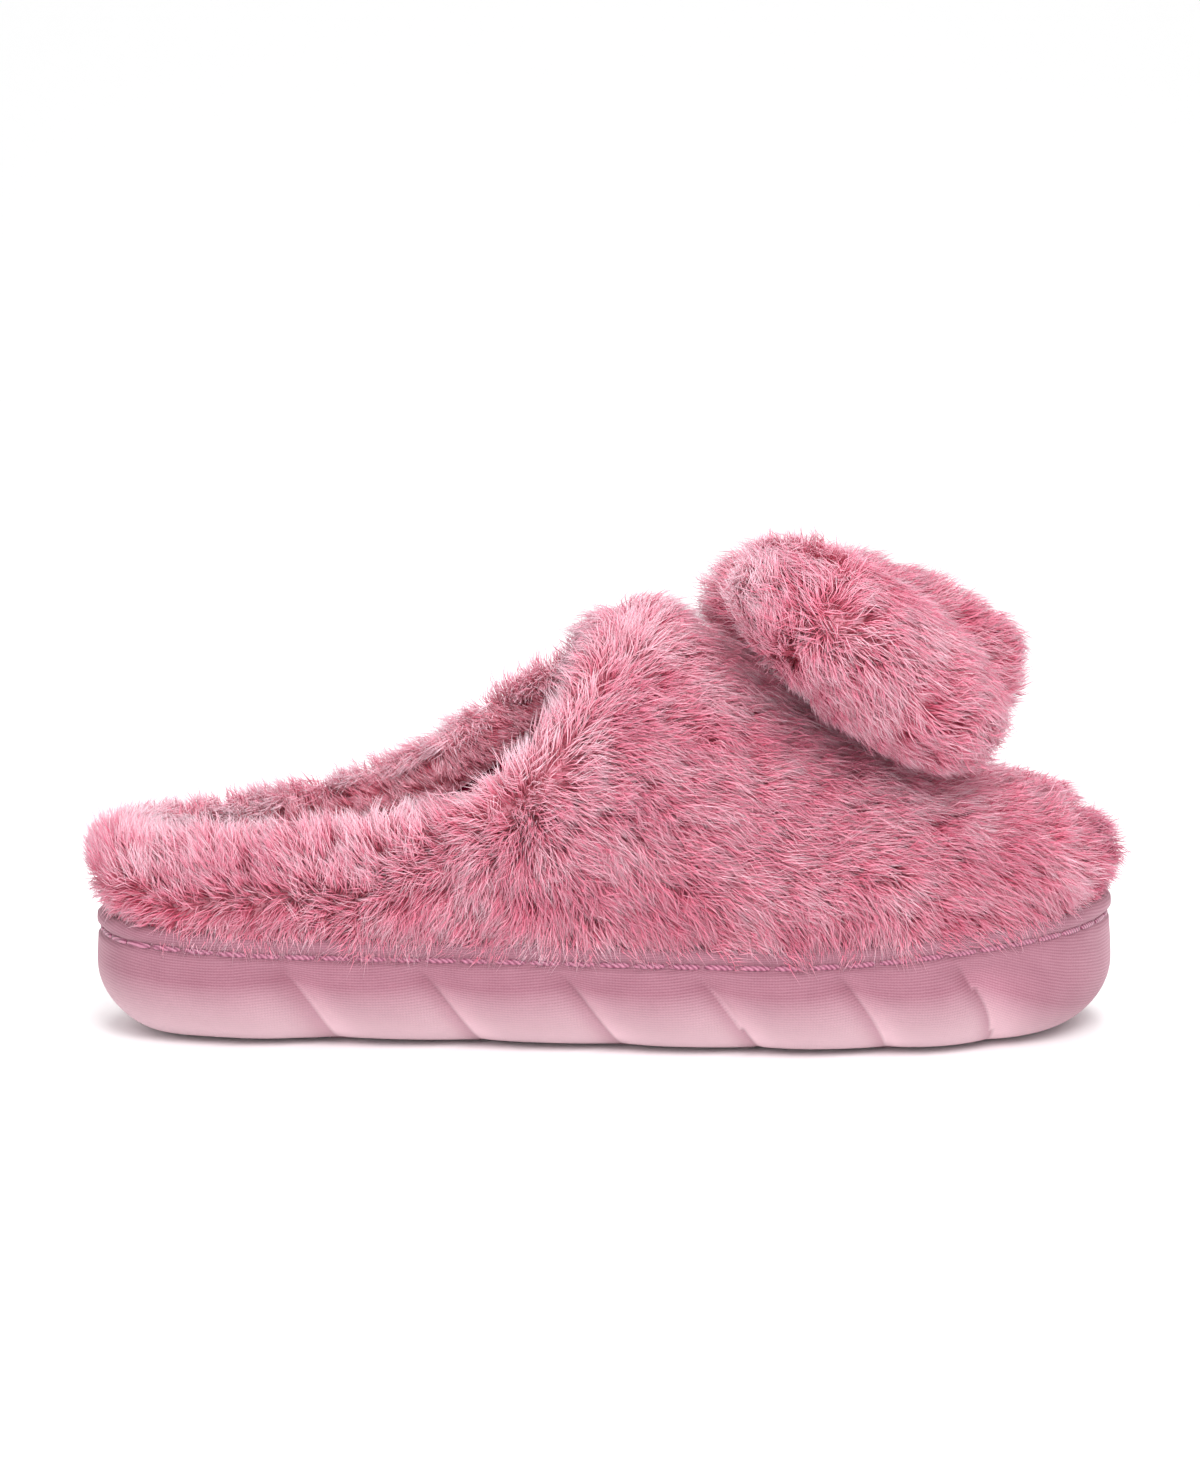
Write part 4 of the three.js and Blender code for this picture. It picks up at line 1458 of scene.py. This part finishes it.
    def comb(self, place: Array, out: Array, up: Array) -> Combing:
        """The way the outer plush lies.

        On the vamp it runs towards the toe and down, and on the collar it parts along the middle: the
        upper half lies up over the edge and the lower half down over the lip.

        Args:
            place: The roots.
            out: The cloth's normals there.
            up: The directions up the cloth there.

        Returns:
            How the tufts lie.
        """
        x, y, z = place.T
        rim = SHOE.rim(x)
        top = np.minimum(SHOE.topline(x, y, self.edge_drop), SHOE.crown(x) - self.skin) + self.roll
        high = np.clip((z - rim) / np.maximum(top - rim, 1), 0, 1.2)
        ahead = unit(np.cross(up, out))
        ahead = np.where(ahead[:, :1] < 0, -ahead, ahead)
        vamp = smoothstep(x + 0.3 * (z - 60) + 4 * waves(place, 18, 7), self.seam - 14, self.seam + 14)
        part = 0.42 + 0.4 * smoothstep(x, 66, 118) + 0.14 * waves(place, 24, 5)
        collar_up = smoothstep(high, part - 0.42, part + 0.42) * 2 - 1
        mouth = 1 - smoothstep(x - 0.28 * (z - 90) + 3 * waves(place, 14, 9), 126, 150)
        low = 1 - smoothstep(z - rim, 4, 24)
        toe_cap = smoothstep(x + 0.2 * (z - 62) - 0.06 * y, 0.94 * SHOE.length, 0.952 * SHOE.length)
        vamp_up = -0.42 - 0.8 * low + 1.4 * mouth * smoothstep(z, 62, 98) + 0.5 * toe_cap
        vamp_ahead = 1.0 - 1.25 * mouth * smoothstep(z, 68, 100) - 0.35 * low
        upward = collar_up * (1 - vamp) + vamp_up * vamp
        back = 0.35 * (1 - smoothstep(x, 60, 118)) + 0.5 * smoothstep(x, 60, 118)
        forward = vamp_ahead * vamp - back * (1 - vamp)
        flow = up * upward[:, None] + ahead * forward[:, None]
        strength = np.linalg.norm(flow, axis=1)
        front = smoothstep(x, 0.88 * SHOE.length, 0.97 * SHOE.length)
        ends = np.maximum(1 - smoothstep(x, 8, 34), front)
        lip = 1 - smoothstep(z - rim, 2, 12)
        length = 1 - 0.2 * lip * (1 - ends) - 0.62 * lip * ends + 0.1 * front * (1 - lip)
        heel = (1 - smoothstep(x, 2, 22)) * (1 - lip)
        lean = 0.45 + 0.6 * smoothstep(strength, 0.0, 0.9) - 0.3 * front - 0.25 * heel
        # Painted highlight: tufts along the collar's rolled edge are made paler, and so get pale tips.
        edge = smoothstep(high, 0.72, 1.05) * (1 - smoothstep(x, 130, 165))
        tone = 0.04 * (1 - vamp) - 0.36 * toe_cap + 0.36 * edge
        return Combing(flow + 0.1 * ahead + ruffle(place, 71), length, lean, tone, z > rim + 1.2)

    def comb_facing(self, place: Array, out: Array, up: Array) -> Combing:
        """The facing's plush stands out and lies upwards, shorter the deeper it is.

        Args:
            place: The roots.
            out: The cloth's normals there.
            up: The directions up the cloth there.

        Returns:
            How the tufts lie.
        """
        depth = SHOE.topline(*place[:, :2].T, self.edge_drop) + self.roll - place[:, 2]
        back = np.cross(up, out) * 0.3
        even = np.ones(len(place))
        shown = (depth < self.facing_depth) & (place[:, 0] < self.facing_end)
        return Combing(-up + back, even - 0.3 * smoothstep(depth, 2, 12), even, 0.3 * even, shown)

    def comb_bed(self, place: Array, out: Array, up: Array) -> Combing:
        """The footbed's fleece lies loosely towards the toe."""
        even = np.ones(len(place))
        return Combing(np.tile((1.0, 0.2, 0.0), (len(place), 1)), even, even, 0 * even, even > 0)

    def footbed(self) -> bpy.types.Object:
        """The footbed's fleece cover, dished a little at the heel and crowned along the middle.

        Returns:
            The cover.
        """
        feet, ridge = SHOE.stations(self.bed_depth, self.arc_points, self.side_places())
        rows = [np.column_stack([feet, np.full(len(feet), self.bed_height - 2.5)])]
        for share in (0, 0.03, 0.08, 0.16, 0.3, 0.5, 0.75, 1):
            plan = feet + (ridge - feet) * share
            dish = 1.6 * (1 - share) ** 3 * (1 - smoothstep(plan[:, 0], 60, 110))
            round_edge = -1.2 * (1 - smoothstep(np.full(len(feet), share), 0, 0.08))
            rows.append(np.column_stack([plan, self.bed_height + dish + round_edge]))
        bed = put_sheet("footbed_fleece", rows, FLEECE, "lining_plush", "footbed_cover")
        return bed

    def build(self) -> None:
        """Makes every layer of the upper and grows the plush."""
        skin, facing = self.cloth()
        grow("upper_pile", skin, self.pile, self.comb, PLUSH, 11, "upper_plush", "vamp_plush", "collar_plush")
        pile = self.facing_pile
        grow("facing_pile", facing, pile, self.comb_facing, FACING_PLUSH, 23, "upper_plush", "collar_plush")
        rows, _, _ = self.wall(self.foam, self.edge_drop + 0.5, 8)
        foam = put_sheet("upper_foam", rows, PAD_FOAM, "padding_foam", "vamp_foam", "collar_foam")
        thicken(foam, self.foam_thickness)
        rows, _, _ = self.wall(self.lining, self.edge_drop + 1, 6)
        lining = put_sheet("upper_lining", rows, FLEECE, "lining_plush", "vamp_lining", "collar_lining")
        thicken(lining, self.lining_thickness, 1.0)
        bed, pile = self.footbed(), self.bed_pile
        grow("footbed_pile", bed, pile, self.comb_bed, RASPBERRY_PLUSH, 31, "lining_plush", "footbed_cover")


# ---- The bow ------------------------------------------------------------------------------------


@dataclass(frozen=True)
class Loop:
    """How one of the bow's loops sits, in the bow's own axes: its tilt is in degrees."""

    half_width: float
    tilt: float
    shift: tuple[float, float]


@dataclass
class Bow:
    """The stuffed bow on the vamp: two loops, the knot round its waist, its felt and its tack.

    The bow's own axes are x down the slope towards the toe, y across the foot and z out of the vamp,
    from the middle of the knot.
    """

    centre: tuple[float, float, float] = (202.0, 2.0, 97.0)
    slope: float = 31.0
    roll: float = 7.5
    half_span: float = 51.0
    half_thickness: float = 16.0
    waist_width: float = 13.0
    waist_thickness: float = 7.5
    start: float = 5.0
    outer: Loop = Loop(half_width=39.5, tilt=7.0, shift=(-4.8, -2.2))
    inner: Loop = Loop(half_width=43.5, tilt=-15.5, shift=(-1.8, 5.5))
    around: int = 44
    along: int = 22
    filling_inset: float = 5.0
    voxel: float = 4.5
    pressure: float = 4.0
    frames: int = 20
    most_swell: float = 5.0
    knot_half: float = 9.0
    knot_girth: float = 5.5
    pile: Pile = Pile(length=10.5, lean=52, per_cm2=270)
    knot_pile: Pile = Pile(length=8.5, lean=48, tuft=2.2, per_cm2=180)

    def place(self) -> Matrix:
        """Where the bow sits.

        Returns:
            The step from the bow's axes to the shoe's.
        """
        slope, roll = math.radians(self.slope), math.radians(-self.roll)
        turn = Matrix.Rotation(slope, 4, "Y") @ Matrix.Rotation(roll, 4, "X")
        return Matrix.Translation(self.centre) @ turn

    def placed(self, rows: Array) -> Array:
        """Points in the bow's axes, moved to the shoe's."""
        place = np.array(self.place())
        return rows @ place[:3, :3].T + place[:3, 3]

    def section(self, y: float, inset: float) -> Array:
        """The bow's outline across one of its loops.

        Args:
            y: How far from the middle of the knot, below 0 on the outer side.
            inset: How far inside the cloth.

        Returns:
            Points in the bow's axes.
        """
        loop = self.outer if y < 0 else self.inner
        share = abs(y) / self.half_span
        spread = float(smoothstep(np.array(abs(y)), 0, 0.62 * self.half_span))
        close = max(1 - min(share, 1) ** 3.0, 0) ** (1 / 2.6)
        wide = (self.waist_width + (loop.half_width - self.waist_width) * spread - inset) * close
        thick = (self.waist_thickness + (self.half_thickness - self.waist_thickness) * spread - inset) * close
        angle = np.linspace(0, 2 * math.pi, self.around, endpoint=False)
        u, w = np.cos(angle), np.sin(angle)
        u, w = (np.sign(v) * np.abs(v) ** 0.86 * size for v, size in ((u, wide), (w, thick)))
        tilt = math.radians(loop.tilt) * spread
        u, w = u * math.cos(tilt) + w * math.sin(tilt), w * math.cos(tilt) - u * math.sin(tilt)
        du, dw = loop.shift
        return np.column_stack([u + du * spread, np.full(len(u), y), w + dw * spread])

    def loop(self, side: Side, inset: float) -> Array:
        """One loop from the waist to its end.

        Args:
            side: Which loop.
            inset: How far inside its cloth.

        Returns:
            Rows of points in the shoe's axes.
        """
        share = np.sin(np.linspace(0, math.pi / 2, self.along))
        places = self.start + inset + (self.half_span - inset - self.start - inset) * share
        rows = np.array([self.section(side.value * y, inset) for y in places])
        rows[-1] = rows[-1].mean(0)
        first = rows[0].mean(0)
        return self.placed(np.concatenate([np.tile(first, (1, self.around, 1)), rows]))

    def stuff(self, loop: bpy.types.Object) -> None:
        """Fills a loop by letting its cloth swell under pressure, and keeps the swollen shape.

        Args:
            loop: The loop's cloth.
        """
        fine = loop.modifiers.new("Remesh", "REMESH")
        fine.mode, fine.voxel_size = "VOXEL", self.voxel * MM
        self.bake(loop)
        rest = np.array([v.co for v in loop.data.vertices])
        cloth = loop.modifiers.new("Cloth", "CLOTH")
        cloth.settings.quality = 6
        cloth.settings.mass = 0.15
        cloth.settings.use_pressure = True
        cloth.settings.uniform_pressure_force = self.pressure
        cloth.settings.effector_weights.gravity = 0
        cloth.point_cache.frame_end = self.frames
        scene = bpy.context.scene
        for step in range(1, self.frames + 1):
            scene.frame_set(step)
        self.bake(loop)
        scene.frame_set(1)
        swollen = np.array([v.co for v in loop.data.vertices])
        moved = swollen - rest
        far = np.linalg.norm(moved, axis=1, keepdims=True)
        kept = rest + moved * np.minimum(1, self.most_swell * MM / np.maximum(far, 1e-9))
        loop.data.vertices.foreach_set("co", kept.astype(np.float32).ravel())
        loop.data.update()

    @staticmethod
    def bake(piece: bpy.types.Object) -> None:
        """Keeps what a piece's modifiers make as its own mesh.

        Args:
            piece: The piece.
        """
        shown = piece.evaluated_get(bpy.context.evaluated_depsgraph_get())
        made = bpy.data.meshes.new_from_object(shown)
        piece.modifiers.clear()
        old, piece.data = piece.data, made
        bpy.data.meshes.remove(old)
        made.shade_smooth()

    def comb(self, place: Array, out: Array, up: Array) -> Combing:
        """The loops' plush parts along the edge seam and spreads from a whorl near the upper end.

        Args:
            place: The roots.
            out: The cloth's normals there, not used.
            up: The directions up the cloth there, not used.

        Returns:
            How the tufts lie.
        """
        own = np.array(self.place().inverted())
        u, y, w = (place @ own[:3, :3].T + own[:3, 3]).T
        down, across, high = np.array(self.place())[:3, :3].T
        seam = -1.5 - 0.1 * (u + 27)
        forward = smoothstep(u, -36, 0) * 2 - 1
        lift = np.tanh((w - seam) / 13)
        sideways = np.sign(y) * 0.45 * smoothstep(np.abs(y), 8, 30)
        flow = down * (0.85 * forward)[:, None] + high * (0.9 * lift)[:, None] + across * sideways[:, None]
        even = np.ones(len(place))
        under = smoothstep(-w, 8, 14)
        lean = 0.55 + 0.5 * smoothstep(np.linalg.norm(flow, axis=1), 0, 0.8)
        # Painted highlight: tufts at the loops' upper ends are made paler, and so get pale tips.
        upper_end = 1 - smoothstep(u, -44, -24)
        flow = flow + 0.12 * down + ruffle(place, 61)
        return Combing(flow, even - 0.3 * under, lean, 0.04 + 0.3 * upper_end, even > 0)

    def comb_knot(self, place: Array, out: Array, up: Array) -> Combing:
        """The knot's plush lies round it, towards the toe and down.

        Args:
            place: The roots.
            out: The cloth's normals there.
            up: The directions up the cloth there, not used.

        Returns:
            How the tufts lie.
        """
        turn = np.array(self.place())[:3, :3]
        even = np.ones(len(place))
        round_knot = np.cross(np.tile(turn[:, 1], (len(place), 1)), out)
        return Combing(round_knot, even, even, 0.1 * even, even > 0)

    def knot(self) -> Array:
        """The knot's barrel.

        Returns:
            Rows of points in the shoe's axes.
        """
        rows = []
        for share in np.linspace(-1, 1, 9):
            row = self.section(abs(share) * self.knot_half, 0)
            girth = self.knot_girth * (1 - 0.4 * share**2)
            round_row = unit(row * (1, 0, 1))
            row = row * (1, 0, 1) + round_row * girth
            row[:, 1] = share * self.knot_half
            rows.append(row)
        ends = [np.tile(row.mean(0), (self.around, 1)) for row in (rows[0], rows[-1])]
        return self.placed(np.array([ends[0], *rows, ends[1]]))

    def build(self) -> None:
        """Makes the loops, stuffs them, grows their plush and dresses the felt and the tack."""
        panels = ("bow_top_panel", "bow_bottom_panel")
        for side in Side:
            name = side.name.lower()
            loop = put_sheet(f"bow_loop_{name}", self.loop(side, 0.0), BACKING, "upper_plush", *panels)
            self.stuff(loop)
            seed = 41 + side.value
            grow(f"bow_pile_{name}", loop, self.pile, self.comb, PLUSH, seed, "upper_plush", *panels)
            fibre = self.loop(side, self.filling_inset)
            put_sheet(f"bow_fibre_{name}", fibre, FILLING, "fibre_filling", f"bow_filling_{name}")
        knot = put_sheet("bow_knot_cloth", self.knot(), BACKING, "upper_plush", "bow_knot")
        grow("knot_pile", knot, self.knot_pile, self.comb_knot, PLUSH, 53, "upper_plush", "bow_knot")
        dress("bow_felt", FELT)
        dress("bow_tack", THREAD)


# ---- Studio -------------------------------------------------------------------------------------


@dataclass
class Studio:
    """A white floor that curves up behind, soft lights and a long lens."""

    target: tuple[float, float, float] = (131.2, 0.0, 77.0)
    elevation: float = 9.0
    distance: float = 1300.0
    view_height: float = 380.9
    sensor: float = 36.0
    floor_end: float = 1500.0
    sweep_radius: float = 1200.0
    wall_height: float = 5000.0
    half_floor: float = 4000.0
    sky: float = 0.93
    lights: tuple[tuple[str, tuple[float, float, float], float, float], ...] = (
        ("key", (350.0, -950.0, 1000.0), 700, 12.5),
        ("front", (100.0, -1200.0, 60.0), 500, 3),
        ("top", (150.0, 300.0, 1400.0), 900, 8),
    )

    def floor(self) -> None:
        """The floor and backdrop in one sweep."""
        end, radius = self.floor_end, self.sweep_radius
        curve = np.linspace(0, math.pi / 2, 12)[1:]
        profile = [(-2 * end, 0.0), (end, 0.0)]
        profile += [(end + radius * math.sin(a), radius * (1 - math.cos(a))) for a in curve]
        profile.append((end + radius, self.wall_height))
        table = np.array([[(x, y, z) for x in (-self.half_floor, self.half_floor + 200)] for y, z in profile])
        sweep = bpy.data.objects.new("sweep", sheet_mesh("sweep", table, False))
        bpy.context.scene.collection.objects.link(sweep)
        n = Nodes("paper")
        n.set(Base_Color=(0.93, 0.93, 0.93, 1), Roughness=0.9, Specular_IOR_Level=0.1)
        sweep.data.materials.append(n.made)

    def light(self, name: str, place: tuple[float, float, float], size: float, power: float) -> None:
        """A square soft light aimed at the slipper.

        Args:
            name: The light's name.
            place: Where it hangs, in the shoe's axes.
            size: The length of its side.
            power: In watts.
        """
        lamp = bpy.data.lights.new(name, "AREA")
        lamp.shape, lamp.size, lamp.energy = "SQUARE", size * MM, power
        holder = bpy.data.objects.new(name, lamp)
        spot, target = (Vector(to_frame(np.array(point))) for point in (place, self.target))
        holder.location = spot
        holder.rotation_euler = (target - spot).to_track_quat("-Z", "Y").to_euler()
        bpy.context.scene.collection.objects.link(holder)

    def camera(self) -> None:
        """A camera at the outer side, a little above."""
        lens = bpy.data.cameras.new("camera")
        lens.sensor_width = self.sensor
        lens.lens = self.sensor * self.distance / self.view_height
        lens.clip_start, lens.clip_end = 0.05, 50.0
        holder = bpy.data.objects.new("camera", lens)
        tilt = math.radians(self.elevation)
        target = Vector(to_frame(np.array(self.target)))
        back = Vector((0, -math.cos(tilt), math.sin(tilt)))
        holder.location = target + back * self.distance * MM
        holder.rotation_euler = (-back).to_track_quat("-Z", "Y").to_euler()
        bpy.context.scene.collection.objects.link(holder)
        bpy.context.scene.camera = holder

    def build(self) -> None:
        """Floor, lights, sky and camera."""
        scene = bpy.context.scene
        scene.view_settings.view_transform = "Standard"
        world = scene.world or bpy.data.worlds.new("sky")
        scene.world = world
        world.use_nodes = True
        sky = world.node_tree.nodes["Background"]
        sky.inputs["Color"].default_value = (1, 1, 1, 1)
        sky.inputs["Strength"].default_value = self.sky
        self.floor()
        for light in self.lights:
            self.light(*light)
        self.camera()


def main() -> None:
    """Builds the slipper and its studio."""
    logging.basicConfig(level=logging.INFO, format="%(name)s %(message)s")
    Studio().build()
    Sole().build()
    Upper().build()
    Bow().build()


if __name__ == "__main__":
    main()
